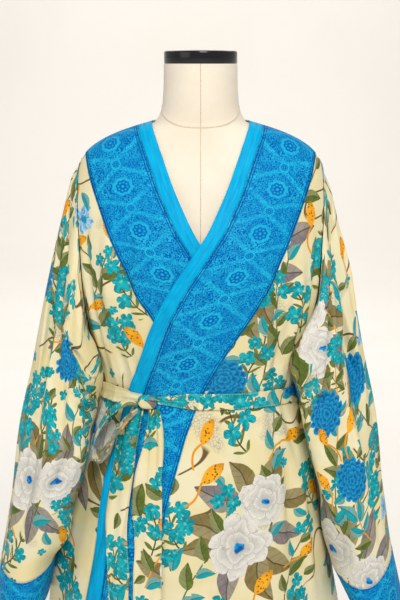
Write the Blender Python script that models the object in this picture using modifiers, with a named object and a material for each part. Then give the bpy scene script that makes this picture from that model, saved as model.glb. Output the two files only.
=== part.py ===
"""A kimono robe, tied at the waist, on a limbless dress form with a pole and a round base.

Metres, +Z up. The front faces -Y and the wearer's left is at +X. The origin is the middle
of the base's underside. Every cloth piece is an open sheet through points worked out from
the sizes below, thickened outwards by its wall.
"""
import math

import bmesh
import bpy
import numpy as np

# Cloth and seams
CLOTH_WALL = 0.0012
SEAM_GAP = 0.0003
BENT_SEAM_GAP = 0.0007
LAYER_STEP = CLOTH_WALL + SEAM_GAP

# Heights of the robe
HEM_HEIGHT = 0.235
WAIST_HEIGHT = 0.9525
UNDERARM_HEIGHT = 1.030
SHOULDER_END_HEIGHT = 1.330
NECK_HEIGHT = 1.387

# Rings of the worn robe: height, half width, depth to the front, depth to the back
ROBE_RINGS = (
    (0.235, 0.292, 0.200, 0.204),
    (0.450, 0.264, 0.184, 0.186),
    (0.560, 0.245, 0.174, 0.174),
    (0.650, 0.228, 0.164, 0.165),
    (0.750, 0.207, 0.152, 0.152),
    (0.820, 0.194, 0.143, 0.140),
    (0.870, 0.184, 0.136, 0.131),
    (0.930, 0.168, 0.126, 0.117),
    (0.9525, 0.162, 0.122, 0.112),
    (0.990, 0.166, 0.125, 0.111),
    (1.050, 0.181, 0.133, 0.112),
    (1.120, 0.198, 0.139, 0.115),
    (1.180, 0.206, 0.137, 0.117),
    (1.240, 0.206, 0.121, 0.115),
    (1.290, 0.199, 0.097, 0.107),
    (1.315, 0.1935, 0.081, 0.097),
    (1.330, 0.187, 0.0735, 0.091),
    (1.342, 0.1775, 0.0685, 0.086),
    (1.353, 0.1635, 0.0645, 0.081),
    (1.365, 0.1415, 0.0605, 0.0755),
    (1.376, 0.1130, 0.0580, 0.0700),
    (1.387, 0.0765, 0.0566, 0.0636),
)
# How far the skirt hangs off to the wearer's right, and the height where that starts
SKIRT_SWAY = -0.010
SWAY_HEIGHTS = (0.560, 0.900)

# Rings of the dress form below the shoulders, and of its neck, in the same columns
TORSO_RINGS = (
    (0.620, 0.160, 0.100, 0.110),
    (0.626, 0.165, 0.105, 0.115),
    (0.700, 0.176, 0.110, 0.124),
    (0.780, 0.174, 0.109, 0.121),
    (0.880, 0.152, 0.101, 0.101),
    (0.970, 0.128, 0.090, 0.086),
    (1.060, 0.140, 0.103, 0.095),
    (1.140, 0.157, 0.126, 0.103),
    (1.200, 0.172, 0.120, 0.107),
    (1.260, 0.184, 0.099, 0.106),
    (1.300, 0.187, 0.085, 0.099),
    (1.318, 0.184, 0.0775, 0.0920),
    (1.328, 0.181, 0.0730, 0.0880),
)
NECK_RINGS = (
    (1.3865, 0.0722, 0.0538, 0.0588),
    (1.395, 0.0662, 0.0545, 0.0578),
    (1.405, 0.0622, 0.0555, 0.0573),
    (1.430, 0.0590, 0.0565, 0.0570),
    (1.476, 0.0575, 0.0570, 0.0570),
)
SHOULDER_CLEARANCE = 0.0019
FRONT_CLEARANCE = 0.0018
BACK_CLEARANCE = 0.0030
SHOULDER_RING_HEIGHTS = (1.3370, 1.3440, 1.3510, 1.3580, 1.3650, 1.3720, 1.3795)
CAP_HEIGHT = 0.0195
CAP_RADIUS = 0.0573
FORM_SEGMENTS = 32
CAP_STEPS = 40

# The stand
BASE_RADIUS = 0.160
BASE_THICKNESS = 0.014
POLE_RADIUS = 0.0125
COLLAR_RADIUS = 0.026
COLLAR_HEIGHT = 0.040
BASE_STEPS = 48
POLE_STEPS = 24

# Free edge of the front that lies over: height, distance from the middle
FREE_EDGE = (
    (0.235, -0.225),
    (0.450, -0.200),
    (0.622, -0.1762),
    (0.721, -0.1661),
    (0.785, -0.1590),
    (0.847, -0.1490),
    (0.9305, -0.1225),
    (0.973, -0.1099),
    (1.026, -0.0941),
    (1.079, -0.0773),
    (1.114, -0.0615),
    (1.149, -0.0423),
    (1.1795, -0.0219),
    (1.210, -0.0010),
    (1.2276, 0.0105),
    (1.2547, 0.0240),
    (1.290, 0.0405),
    (1.3358, 0.0580),
    (1.387, 0.0765),
)
# Outer edge of the wide border on that front: height, distance from the middle
BORDER_EDGE = (
    (0.235, -0.0850),
    (0.450, -0.0750),
    (0.650, -0.0630),
    (0.712, -0.0583),
    (0.783, -0.0520),
    (0.865, -0.0335),
    (0.8947, -0.0244),
    (0.954, 0.0000),
    (0.990, 0.0160),
    (1.044, 0.0425),
    (1.099, 0.0790),
    (1.148, 0.1085),
    (1.2127, 0.1365),
    (1.277, 0.1630),
    (1.303, 0.1725),
    (1.3376, 0.1810),
)
BAND_WIDTH = 0.024
UNDERLAP_DEPTH = 0.0054
UNDERLAP_HEM_DEPTH = 0.0090
UNDERLAP_FADE = 0.030
UNDERLAP_MARGIN = 0.010

# The rows of a panel: heights up the side seam, of which three lie under the sash, and then
# depths below the shoulder line, closer together where the cloth rounds over the shoulder
SASH_WIDTH = 0.027
SIDE_SEAM_HEIGHTS = (HEM_HEIGHT, 0.345, 0.455, 0.560, 0.655, 0.740, 0.815, 0.875, 0.920,
                     WAIST_HEIGHT - SASH_WIDTH / 2, WAIST_HEIGHT, WAIST_HEIGHT + SASH_WIDTH / 2,
                     0.998, UNDERARM_HEIGHT)
ARMHOLE_DEPTHS = (0.292, 0.268, 0.235, 0.198, 0.160, 0.120, 0.083, 0.050, 0.0233, 0.0087, 0.0020, 0.0)
ARMHOLE_ROWS = len(ARMHOLE_DEPTHS)
NECKBAND_ROWS = 3
# How far round from the front the armhole seam lies at its widest, in degrees short of the side
ARMHOLE_TURN = 24.0
ARMHOLE_ROUNDING = 0.6
BAND_COLUMNS = 2
BORDER_COLUMNS = 4
PRINT_COLUMNS = 8
SHOULDER_COLUMNS = 7
HALF_NECK_COLUMNS = 4

# Upright folds of the robe below the waist: degrees round from the front, half width in degrees,
# depth at the hem, height where they fade out
SKIRT_FOLDS = (
    (-90, 12, 0.008, 0.900),
    (-68, 12, -0.008, 0.890),
    (-46, 12, 0.007, 0.860),
    (4, 16, -0.005, 0.780),
    (30, 14, 0.007, 0.860),
    (52, 12, -0.008, 0.890),
    (90, 12, 0.008, 0.900),
    (114, 13, -0.010, 0.900),
    (136, 13, 0.008, 0.890),
    (160, 13, -0.009, 0.900),
    (-176, 13, 0.008, 0.890),
    (-152, 13, -0.009, 0.900),
    (-130, 12, 0.007, 0.890),
    (-112, 12, -0.009, 0.900),
)
FOLD_GROWTH = 0.7
# Soft folds above the waist: degrees round from the front, half width in degrees, depth,
# lowest, deepest and highest point
BODICE_FOLDS = (
    (48, 9, -0.006, 0.975, 1.040, 1.150),
    (63, 9, 0.005, 0.985, 1.060, 1.200),
    (-46, 9, -0.005, 0.975, 1.040, 1.160),
    (-62, 9, 0.005, 0.985, 1.060, 1.200),
    (150, 14, -0.005, 0.975, 1.030, 1.180),
    (-148, 14, -0.005, 0.975, 1.030, 1.180),
    (178, 12, 0.004, 0.975, 1.030, 1.200),
)

# Sleeves: the seam where the cuff is sewn on, and the cuff's lower edge
# (middle, half width, middle of the depth, half depth, height, rise at the outside, rise at both sides)
CUFF_SEAMS = {
    "left": (0.2708, 0.0505, -0.035, 0.085, 0.6590, 0.0155, 0.0133),
    "right": (0.2895, 0.0465, -0.035, 0.085, 0.6625, 0.0000, 0.0075),
}
CUFF_EDGES = {
    "left": (0.2965, 0.0450, -0.037, 0.088, 0.5830, 0.0055, 0.0148),
    "right": (0.3020, 0.0440, -0.037, 0.088, 0.5850, -0.0050, 0.0100),
}
SLEEVE_ROWS = 12
CUFF_ROWS = 2
SLEEVE_START = 0.0018
SLEEVE_END_FADE = 0.12
# Drapes of a sleeve: degrees round from the shoulder, half width in degrees, place along
# it, half length, share of its length where it grows, push outwards, push to the back
SLEEVE_DRAPES = {
    "left": (
        (136, 56, 0.28, 0.68, 0.18, -0.041, -0.031),
        (122, 26, 0.27, 0.45, 0.18, -0.006, -0.004),
        (97, 24, 0.26, 0.30, 0.18, 0.000, -0.010),
        (58, 22, 0.30, 0.45, 0.18, -0.006, 0.010),
        (0, 75, 0.38, 0.72, 0.08, 0.0145, 0.000),
        (230, 60, 0.30, 0.45, 0.18, -0.020, 0.018),
        (290, 24, 0.40, 0.50, 0.18, -0.006, -0.008),
        (100, 34, 0.78, 0.30, 0.18, 0.000, -0.010),
    ),
    "right": (
        (140, 62, 0.50, 0.75, 0.18, -0.030, -0.030),
        (92, 24, 0.25, 0.30, 0.18, -0.002, -0.012),
        (52, 22, 0.34, 0.50, 0.18, -0.006, 0.010),
        (0, 75, 0.32, 0.75, 0.05, 0.0150, 0.000),
        (232, 60, 0.30, 0.45, 0.18, -0.020, 0.018),
        (285, 24, 0.45, 0.50, 0.18, -0.006, -0.008),
        (105, 34, 0.75, 0.30, 0.18, 0.000, -0.010),
    ),
}

# Sash: it lies on everything else at the waist, a little lower at the wearer's left
SASH_WALL = 0.0016
SASH_LIFT = 2 * LAYER_STEP + 0.0004
SASH_PINCH = 0.014
SASH_PINCH_TURN = 22.0
SASH_TUCK = 0.0035
SASH_TILT = -0.002
SASH_FRONT_RISE = 0.0115
SASH_REACH = 0.11
SASH_COLUMNS = 44
KNOT_PLACE = -0.0790
KNOT_DROP = 0.004
KNOT_HALF_WIDTH = 0.0150
KNOT_HALF_HEIGHT = 0.0105
KNOT_HALF_DEPTH = 0.0085
KNOT_GAP = 0.0002
KNOT_SQUARENESS = 0.6
TAIL_ROWS = 15
TAIL_COLUMNS = 4
TAIL_END_HEIGHT = 0.430
# Tails: height, middle, width, distance from the robe
RIGHT_TAIL = (
    (0.430, -0.1210, 0.0360, 0.0065),
    (0.640, -0.1210, 0.0345, 0.0065),
    (0.748, -0.1243, 0.0360, 0.0065),
    (0.805, -0.1224, 0.0385, 0.0065),
    (0.837, -0.1193, 0.0395, 0.0070),
    (0.874, -0.1155, 0.0385, 0.0075),
    (0.910, -0.1055, 0.0330, 0.0080),
    (0.930, -0.0970, 0.0240, 0.0085),
    (0.950, -0.0885, 0.0140, 0.0085),
)
LEFT_TAIL = (
    (0.430, -0.0750, 0.0450, 0.0060),
    (0.650, -0.0750, 0.0447, 0.0060),
    (0.8085, -0.0778, 0.0415, 0.0060),
    (0.846, -0.0765, 0.0370, 0.0065),
    (0.8976, -0.0705, 0.0280, 0.0070),
    (0.9145, -0.0698, 0.0240, 0.0080),
    (0.930, -0.0705, 0.0190, 0.0085),
    (0.950, -0.0725, 0.0130, 0.0085),
)
# The one loop of the bow: distance from the middle, distance from the robe, height, width
BOW_LOOP = (
    (-0.0990, 0.0190, 0.9560, 0.0085),
    (-0.1130, 0.0270, 0.9590, 0.0180),
    (-0.1320, 0.0350, 0.9490, 0.0260),
    (-0.1500, 0.0380, 0.9290, 0.0290),
    (-0.1650, 0.0380, 0.9010, 0.0300),
    (-0.1740, 0.0370, 0.8760, 0.0300),
    (-0.1710, 0.0360, 0.8650, 0.0300),
    (-0.1600, 0.0350, 0.8680, 0.0300),
    (-0.1460, 0.0340, 0.8870, 0.0290),
    (-0.1310, 0.0320, 0.9120, 0.0250),
    (-0.1130, 0.0260, 0.9360, 0.0170),
    (-0.0990, 0.0190, 0.9470, 0.0085),
)
LOOP_TURN = 20.0
LOOP_SEGMENTS = 30


def start_empty():
    for thing in list(bpy.data.objects):
        bpy.data.objects.remove(thing)


def make_material(name, colour, roughness, metallic=0.0):
    material = bpy.data.materials.new(name)
    material.use_nodes = True
    shader = material.node_tree.nodes["Principled BSDF"]
    shader.inputs["Base Color"].default_value = (*colour, 1.0)
    shader.inputs["Roughness"].default_value = roughness
    shader.inputs["Metallic"].default_value = metallic
    return material


def through(rows, at):
    """A smooth curve through the rows of a table, whose first column rises, read at some values."""
    table = np.array(rows, float)
    knots = table[:, 0]
    values = table[:, 1:]
    steps = np.diff(knots)[:, None]
    slopes = np.diff(values, axis=0) / steps
    tangents = np.empty_like(values)
    tangents[0] = slopes[0]
    tangents[-1] = slopes[-1]
    weight = steps[1:] / (steps[1:] + steps[:-1])
    tangents[1:-1] = weight * slopes[:-1] + (1 - weight) * slopes[1:]
    at = np.clip(np.asarray(at, float), knots[0], knots[-1])
    place = np.clip(np.searchsorted(knots, at, side="right") - 1, 0, len(knots) - 2)
    step = steps[place]
    t = ((at - knots[place])[..., None]) / step
    first = (1 + 2 * t) * (1 - t) ** 2 * values[place] + t * (1 - t) ** 2 * step * tangents[place]
    second = t**2 * (3 - 2 * t) * values[place + 1] - t**2 * (1 - t) * step * tangents[place + 1]
    return np.moveaxis(first + second, -1, 0)


def ease(value):
    """A smooth step from 0 to 1."""
    value = np.clip(value, 0.0, 1.0)
    return value * value * (3 - 2 * value)


def hump(distance, half_width):
    """A smooth hump of height 1 that ends at its half width."""
    inside = np.clip(np.abs(distance) / half_width, 0.0, 1.0)
    return np.cos(inside * math.pi / 2) ** 2


def turned(angle):
    """An angle in degrees brought between -180 and 180."""
    return (np.asarray(angle) + 180.0) % 360.0 - 180.0


def fold_depth(angle, height):
    """How far the robe's folds stand out at an angle round from the front."""
    depth = np.zeros(np.broadcast(angle, height).shape)
    for middle, half_width, full, fade in SKIRT_FOLDS:
        grown = ease((fade - height) / (fade - HEM_HEIGHT)) ** FOLD_GROWTH
        depth = depth + full * grown * hump(turned(angle - middle), half_width)
    for middle, half_width, full, low, deep, high in BODICE_FOLDS:
        rise = ease((height - low) / (deep - low)) * ease((high - height) / (high - deep))
        depth = depth + full * rise * hump(turned(angle - middle), half_width)
    return depth


def half_width_at(height):
    return through(ROBE_RINGS, height)[0]


def sash_shift(angle, height):
    """How far the robe is lifted near the waist, where it follows the tilted sash."""
    turn = np.radians(angle)
    rise = SASH_TILT * np.sin(turn) + SASH_FRONT_RISE * np.cos(turn)
    return rise * hump(height - WAIST_HEIGHT, SASH_REACH)


def sway_at(height):
    """How far the skirt hangs off to one side."""
    low, high = SWAY_HEIGHTS
    return SKIRT_SWAY * ease((high - height) / (high - low))


def robe_point(angle, height):
    """A point of the robe's inner face, at an angle round from the front.

    The height is the one at a level waist, before the sash tilts it.
    """
    angle, height = np.broadcast_arrays(np.asarray(angle, float), np.asarray(height, float))
    half_width, front, back = through(ROBE_RINGS, height)
    turn = np.radians(angle)
    depth = np.where(np.cos(turn) > 0, front, back)
    across = np.sin(turn)
    along = -np.cos(turn)
    outwards = np.stack([across / half_width, along / depth], -1)
    outwards /= np.linalg.norm(outwards, axis=-1, keepdims=True)
    push = fold_depth(angle, height)
    x = half_width * across + push * outwards[..., 0]
    y = depth * along + push * outwards[..., 1]
    x = x + sway_at(height)
    return np.stack([x, y, height + sash_shift(angle, height)], -1)


def angle_of(across, height, side=1):
    """The angle round from the front, or from the back, of a point at a distance from the middle."""
    share = np.clip(across / half_width_at(height), -1.0, 1.0)
    angle = np.degrees(np.arcsin(share))
    return angle if side > 0 else 180.0 - angle


def shoulder_height(across):
    """Height of the shoulder line at a distance from the middle."""
    heights = np.linspace(SHOULDER_END_HEIGHT, NECK_HEIGHT, 80)
    return np.interp(-across, -half_width_at(heights), heights)


def side_rows():
    """Heights of the points along a side: up the side seam, then up the armhole to the shoulder."""
    armhole = SHOULDER_END_HEIGHT - np.array(ARMHOLE_DEPTHS)
    return np.concatenate([SIDE_SEAM_HEIGHTS, armhole])


def fanned(side_heights, top):
    """The same rows on a line that ends higher than the shoulder's end: level up to the underarm."""
    stretch = (top - UNDERARM_HEIGHT) / (SHOULDER_END_HEIGHT - UNDERARM_HEIGHT)
    above = np.maximum(side_heights - UNDERARM_HEIGHT, 0.0)
    return side_heights + above * (stretch - 1)


def armhole_angle(height):
    """Angle round from the front where a panel ends: at the side, or short of it in the armhole."""
    share = (height - UNDERARM_HEIGHT) / (SHOULDER_END_HEIGHT - UNDERARM_HEIGHT)
    inside = np.clip(np.sin(math.pi * np.clip(share, 0.0, 1.0)), 0.0, 1.0)
    return 90.0 - ARMHOLE_TURN * inside**ARMHOLE_ROUNDING


def grid_normals(points):
    """Unit normals of a grid of points, which point outwards."""
    across = np.gradient(points, axis=1)
    upwards = np.gradient(points, axis=0)
    normals = np.cross(across, upwards)
    return normals / np.maximum(np.linalg.norm(normals, axis=-1, keepdims=True), 1e-12)


def inset(points, sides, gap=SEAM_GAP):
    """Draw the named sides of a grid in by half a seam gap."""
    drawn = points.copy()
    half = gap / 2 + 0.00003
    ends = {"left": (np.s_[:, 0], np.s_[:, 1]), "right": (np.s_[:, -1], np.s_[:, -2]),
            "bottom": (np.s_[0], np.s_[1]), "top": (np.s_[-1], np.s_[-2])}
    for side in sides:
        edge, inner = ends[side]
        inwards = points[inner] - points[edge]
        inwards /= np.maximum(np.linalg.norm(inwards, axis=-1, keepdims=True), 1e-12)
        drawn[edge] = drawn[edge] + half * inwards
    return drawn


def front_grid(side):
    """Points of a front, from its free edge to its side, row by row up from the hem.

    side is 1 for the wearer's left front, which lies over, and -1 for the right one.
    """
    side_heights = side_rows()
    edge_heights = fanned(side_heights, NECK_HEIGHT)
    border_heights = fanned(side_heights, BORDER_EDGE[-1][0])
    edge = through(FREE_EDGE, edge_heights)[0]
    border = through(BORDER_EDGE, border_heights)[0]
    to_side = np.linspace(0, 1, PRINT_COLUMNS + 1)
    rows = []
    for i, side_height in enumerate(side_heights):
        total = math.hypot(border[i] - edge[i], border_heights[i] - edge_heights[i])
        band = BAND_WIDTH / total
        steps = np.concatenate([np.linspace(0, band, BAND_COLUMNS + 1)[:-1],
                                np.linspace(band, 1, BORDER_COLUMNS + 1)[:-1]])
        ridge = shoulder_height(edge[-1] + steps * (border[-1] - edge[-1]))
        rise = ridge - (edge_heights[-1] + steps * (border_heights[-1] - edge_heights[-1]))
        share = max(side_height - UNDERARM_HEIGHT, 0.0) / (SHOULDER_END_HEIGHT - UNDERARM_HEIGHT)
        height = edge_heights[i] + steps * (border_heights[i] - edge_heights[i]) + share * rise
        angle = angle_of(edge[i] + steps * (border[i] - edge[i]), height)
        first = float(angle_of(border[i], border_heights[i]))
        if i == len(side_heights) - 1:
            first = 90.0
            angle[:] = 90.0
        angle = np.concatenate([angle, first + to_side * (armhole_angle(side_height) - first)])
        height = np.concatenate([height, border_heights[i] + to_side * (side_height - border_heights[i])])
        rows.append(robe_point(side * angle, height))
    return np.array(rows)


def sunk_under(points):
    """The right front's points, drawn in where the left front covers them."""
    normals = grid_normals(points[:, ::-1])[:, ::-1]
    cover = through(FREE_EDGE, points[..., 2])[0]
    across = points[..., 0] - sway_at(points[..., 2])
    crossing = ease((across - cover + UNDERLAP_MARGIN + UNDERLAP_FADE) / UNDERLAP_FADE)
    fall = np.clip((WAIST_HEIGHT - points[..., 2]) / (WAIST_HEIGHT - HEM_HEIGHT), 0.0, 1.0)
    depth = UNDERLAP_DEPTH + (UNDERLAP_HEM_DEPTH - UNDERLAP_DEPTH) * fall
    return points - normals * (depth * crossing)[..., None]


def back_grid():
    """Points of the back, from the wearer's left side to the right one, row by row."""
    side_heights = side_rows()
    side_width = half_width_at(side_heights)
    shoulder_half = half_width_at(SHOULDER_END_HEIGHT)
    neck_half = half_width_at(NECK_HEIGHT)
    neck_turn = math.asin(neck_half / shoulder_half)
    round_neck = np.linspace(math.pi / 2, 0, HALF_NECK_COLUMNS + 1)[1:]
    turn = np.concatenate([np.linspace(math.pi / 2, neck_turn, SHOULDER_COLUMNS + 1),
                           np.arcsin(neck_half * np.sin(round_neck) / shoulder_half)])
    shoulder = shoulder_height(shoulder_half * np.sin(turn[: SHOULDER_COLUMNS + 1]))
    tops = np.concatenate([shoulder, np.full(HALF_NECK_COLUMNS, NECK_HEIGHT)])
    heights = np.array([fanned(side_heights, top) for top in tops]).T
    rows = []
    for i, height in enumerate(heights):
        shrink = armhole_angle(side_heights[i]) / 90.0
        angle = angle_of(side_width[i] * np.sin(turn * shrink), height, side=-1)
        if i == len(heights) - 1:
            angle[: SHOULDER_COLUMNS + 1] = 90.0
        angle[0] = 180.0 - 90.0 * shrink
        left = robe_point(angle, height)
        right = robe_point(-angle, height)[::-1]
        rows.append(np.concatenate([left, right[1:]]))
    return np.array(rows)


def armhole_ring(side):
    """Where a sleeve starts, just past the panels: down the armhole's front and up its back."""
    heights = side_rows()[-(ARMHOLE_ROWS + 1):]
    turn = armhole_angle(heights)
    front = robe_point(side * turn, heights)
    back = robe_point(side * (180.0 - turn), heights)
    ring = np.concatenate([front[::-1], back[1:]])
    ring[:, 0] += side * SLEEVE_START
    return ring


def cuff_ring(side, sizes, turn):
    """An even loop round the end of a sleeve, seen from the shoulder's side round by the front."""
    middle, half_width, depth_middle, half_depth, height, outer_rise, side_rise = sizes
    x = side * (middle + half_width * np.cos(turn))
    y = depth_middle - half_depth * np.sin(turn)
    z = height + outer_rise * np.cos(turn) + side_rise * np.cos(2 * turn)
    return np.stack([x, y, z], -1)


def sleeve_grid(name, side):
    """Points of a sleeve, whose rows run from the cuff's seam up to the armhole."""
    top = armhole_ring(side)
    turn = np.linspace(0, 2 * math.pi, 2 * ARMHOLE_ROWS + 1)
    end = cuff_ring(side, CUFF_SEAMS[name], turn)
    degrees = np.degrees(turn)
    rows = []
    for v in np.linspace(1, 0, SLEEVE_ROWS + 1):
        ring = top + (end - top) * v
        for middle, half_width, place, half_length, start, outwards, backwards in SLEEVE_DRAPES[name]:
            near_end = ease(v / start) * ease((1 - v) / SLEEVE_END_FADE)
            round_it = hump(turned(degrees - middle), half_width)
            amount = near_end * round_it * hump(v - place, half_length)
            ring = ring + amount[:, None] * np.array([side * outwards, backwards, 0.0])
        rows.append(ring)
    return np.array(rows)


def cuff_grid(name, side, seam):
    """Points of a cuff, from its lower edge up to the sleeve's last ring."""
    turn = np.linspace(0, 2 * math.pi, 2 * ARMHOLE_ROWS + 1)
    edge = cuff_ring(side, CUFF_EDGES[name], turn)
    steps = np.linspace(0, 1, CUFF_ROWS + 1)
    return np.array([edge + (seam - edge) * step for step in steps])


def grid_mesh(name, points, wrap=False):
    """A mesh of quads through a grid of points; wrap joins its last column to its first."""
    rows, columns = points.shape[:2]
    shape = bmesh.new()
    bmesh.ops.create_grid(shape, x_segments=columns - 1, y_segments=rows - 1, size=1.0)
    shape.verts.ensure_lookup_table()
    for place, vertex in enumerate(shape.verts):
        vertex.co = points[place // columns, place % columns]
    if wrap:
        bmesh.ops.remove_doubles(shape, verts=shape.verts, dist=1e-6)
    mesh = bpy.data.meshes.new(name)
    shape.to_mesh(mesh)
    shape.free()
    return mesh


def add_object(name, mesh, material, collection):
    thing = bpy.data.objects.new(name, mesh)
    thing.data.materials.append(material)
    thing.data.shade_smooth()
    collection.objects.link(thing)
    return thing


def lifted(points, lift):
    """A grid moved out along its normals."""
    return points + grid_normals(points) * lift


def add_sheet(name, points, material, collection, wall=CLOTH_WALL, wrap=False, offset=1.0):
    """A sheet of cloth: a grid of points thickened by its wall."""
    thing = add_object(name, grid_mesh(name, points, wrap), material, collection)
    wall_maker = thing.modifiers.new("wall", "SOLIDIFY")
    wall_maker.thickness = wall
    wall_maker.offset = offset
    wall_maker.use_rim = True
    return thing


def add_closed_loft(name, rings, material, collection):
    """A solid through level rings, closed flat at both ends."""
    shape = bmesh.new()
    mesh = grid_mesh(name, rings, wrap=True)
    shape.from_mesh(mesh)
    bmesh.ops.holes_fill(shape, edges=[edge for edge in shape.edges if edge.is_boundary], sides=0)
    bmesh.ops.recalc_face_normals(shape, faces=shape.faces)
    shape.to_mesh(mesh)
    shape.free()
    thing = add_object(name, mesh, material, collection)
    thing.data.set_sharp_from_angle(angle=math.radians(50))
    return thing


def add_turned(name, profile, material, collection, steps):
    """A solid turned round the upright axis from a profile, listed down its outer side."""
    mesh = bpy.data.meshes.new(name)
    mesh.from_pydata([(radius, 0.0, height) for radius, height in profile],
                     [(i, i + 1) for i in range(len(profile) - 1)], [])
    thing = add_object(name, mesh, material, collection)
    screw = thing.modifiers.new("turn", "SCREW")
    screw.steps = steps
    screw.render_steps = steps
    screw.use_merge_vertices = True
    screw.merge_threshold = 0.0001
    screw.use_smooth_shade = True
    return thing


def level_ring(half_width, front, back, height, segments):
    turn = np.linspace(-math.pi, math.pi, segments + 1)
    depth = np.where(np.cos(turn) > 0, front, back)
    x = half_width * np.sin(turn)
    y = -depth * np.cos(turn)
    return np.stack([x, y, np.full_like(x, height)], -1)


def add_form(materials, collection):
    """The dress form: its torso under the robe's shoulders, its neck and its neck cap."""
    sections = list(TORSO_RINGS)
    for height in SHOULDER_RING_HEIGHTS:
        half_width, front, back = through(ROBE_RINGS, height + SHOULDER_CLEARANCE)
        sections.append((height, half_width, front - FRONT_CLEARANCE, back - BACK_CLEARANCE))
    sections += NECK_RINGS
    rings = [level_ring(half_width, front, back, height, FORM_SEGMENTS)
             for height, half_width, front, back in sections]
    add_closed_loft("form_torso", np.array(rings), materials["form"], collection)
    low = NECK_RINGS[-1][0] + SEAM_GAP
    high = low + CAP_HEIGHT
    rounding = 0.004
    profile = [
        (0.0, high + 0.0015),
        (CAP_RADIUS * 0.6, high + 0.0008),
        (CAP_RADIUS - rounding, high - 0.0002),
        (CAP_RADIUS - rounding * 0.3, high - rounding * 0.3),
        (CAP_RADIUS, high - rounding),
        (CAP_RADIUS, low + 0.001),
        (CAP_RADIUS - 0.001, low),
        (0.0, low),
    ]
    add_turned("neck_cap", profile, materials["cap"], collection, CAP_STEPS)


def add_stand(materials, collection):
    """The round base and the pole that carries the torso."""
    edge = 0.003
    base = [
        (0.0, COLLAR_HEIGHT),
        (COLLAR_RADIUS - edge, COLLAR_HEIGHT),
        (COLLAR_RADIUS, COLLAR_HEIGHT - edge),
        (COLLAR_RADIUS + 0.004, BASE_THICKNESS + 0.008),
        (COLLAR_RADIUS + 0.016, BASE_THICKNESS + 0.002),
        (BASE_RADIUS - 0.012, BASE_THICKNESS),
        (BASE_RADIUS - edge, BASE_THICKNESS - edge),
        (BASE_RADIUS, BASE_THICKNESS - 2 * edge),
        (BASE_RADIUS, 0.001),
        (BASE_RADIUS - 0.001, 0.0),
        (0.0, 0.0),
    ]
    add_turned("stand_base", base, materials["metal"], collection, BASE_STEPS)
    low = COLLAR_HEIGHT + SEAM_GAP
    high = TORSO_RINGS[0][0] - SEAM_GAP
    pole = [(0.0, high), (POLE_RADIUS, high), (POLE_RADIUS, low), (0.0, low)]
    add_turned("stand_pole", pole, materials["metal"], collection, POLE_STEPS)


def add_robe(materials, collection):
    """The robe's panels, borders, neckbands, sleeves and cuffs."""
    first_border = BAND_COLUMNS
    last_border = BAND_COLUMNS + BORDER_COLUMNS
    left = front_grid(1)
    right = sunk_under(front_grid(-1))
    for name, grid in (("left", left), ("right", right)):
        outward = grid if name == "left" else grid[:, ::-1]
        seams = ("right", "top") if name == "left" else ("left", "top")
        panel = inset(outward, seams)
        add_sheet("robe_front_" + name, panel, materials["print"], collection)
        over = lifted(panel, LAYER_STEP)
        if name == "left":
            border = over[:, first_border:last_border + 1]
            band = over[:, :first_border + 1]
            border_side, band_side = "left", "right"
        else:
            border = over[:, -(last_border + 1):-first_border]
            band = over[:, -(first_border + 1):]
            border_side, band_side = "right", "left"
        add_sheet("border_" + name, inset(border, (border_side,)), materials["border"], collection)
        add_sheet("neckband_" + name, inset(band, (band_side,)), materials["band"], collection)

    back = inset(back_grid(), ("left", "right"))
    back[-1, :SHOULDER_COLUMNS + 1, 1] += SEAM_GAP / 2
    back[-1, -(SHOULDER_COLUMNS + 1):, 1] += SEAM_GAP / 2
    add_sheet("robe_back", back, materials["print"], collection)
    first = SHOULDER_COLUMNS - 1
    band = lifted(back, LAYER_STEP)[-(NECKBAND_ROWS + 1):, first:-first]
    add_sheet("neckband_back", band, materials["band"], collection)

    for name, side in (("left", 1), ("right", -1)):
        sleeve = sleeve_grid(name, side)
        cuff = cuff_grid(name, side, sleeve[0])
        if side > 0:
            sleeve = sleeve[:, ::-1]
            cuff = cuff[:, ::-1]
        sleeve = inset(sleeve, ("bottom",), BENT_SEAM_GAP)
        cuff = inset(cuff, ("top",), BENT_SEAM_GAP)
        add_sheet("sleeve_" + name, sleeve, materials["print"], collection, wrap=True, offset=-1.0)
        add_sheet("cuff_" + name, cuff, materials["border"], collection, wrap=True, offset=-1.0)


def front_point(across, height, lift):
    """A point in front of the robe at a distance from the middle, moved out by lift."""
    angle = angle_of(np.asarray(across, float), np.asarray(height, float))
    return robe_point(angle, height) + front_normal(angle, height) * np.asarray(lift)[..., None]


def front_normal(angle, height):
    """The way that the robe's surface faces at an angle round from the front."""
    turn_step = 0.5
    height_step = 0.004
    aside = robe_point(angle + turn_step, height) - robe_point(angle - turn_step, height)
    above = robe_point(angle, height + height_step) - robe_point(angle, height - height_step)
    out = np.cross(aside, above)
    return out / np.linalg.norm(out, axis=-1, keepdims=True)


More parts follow.
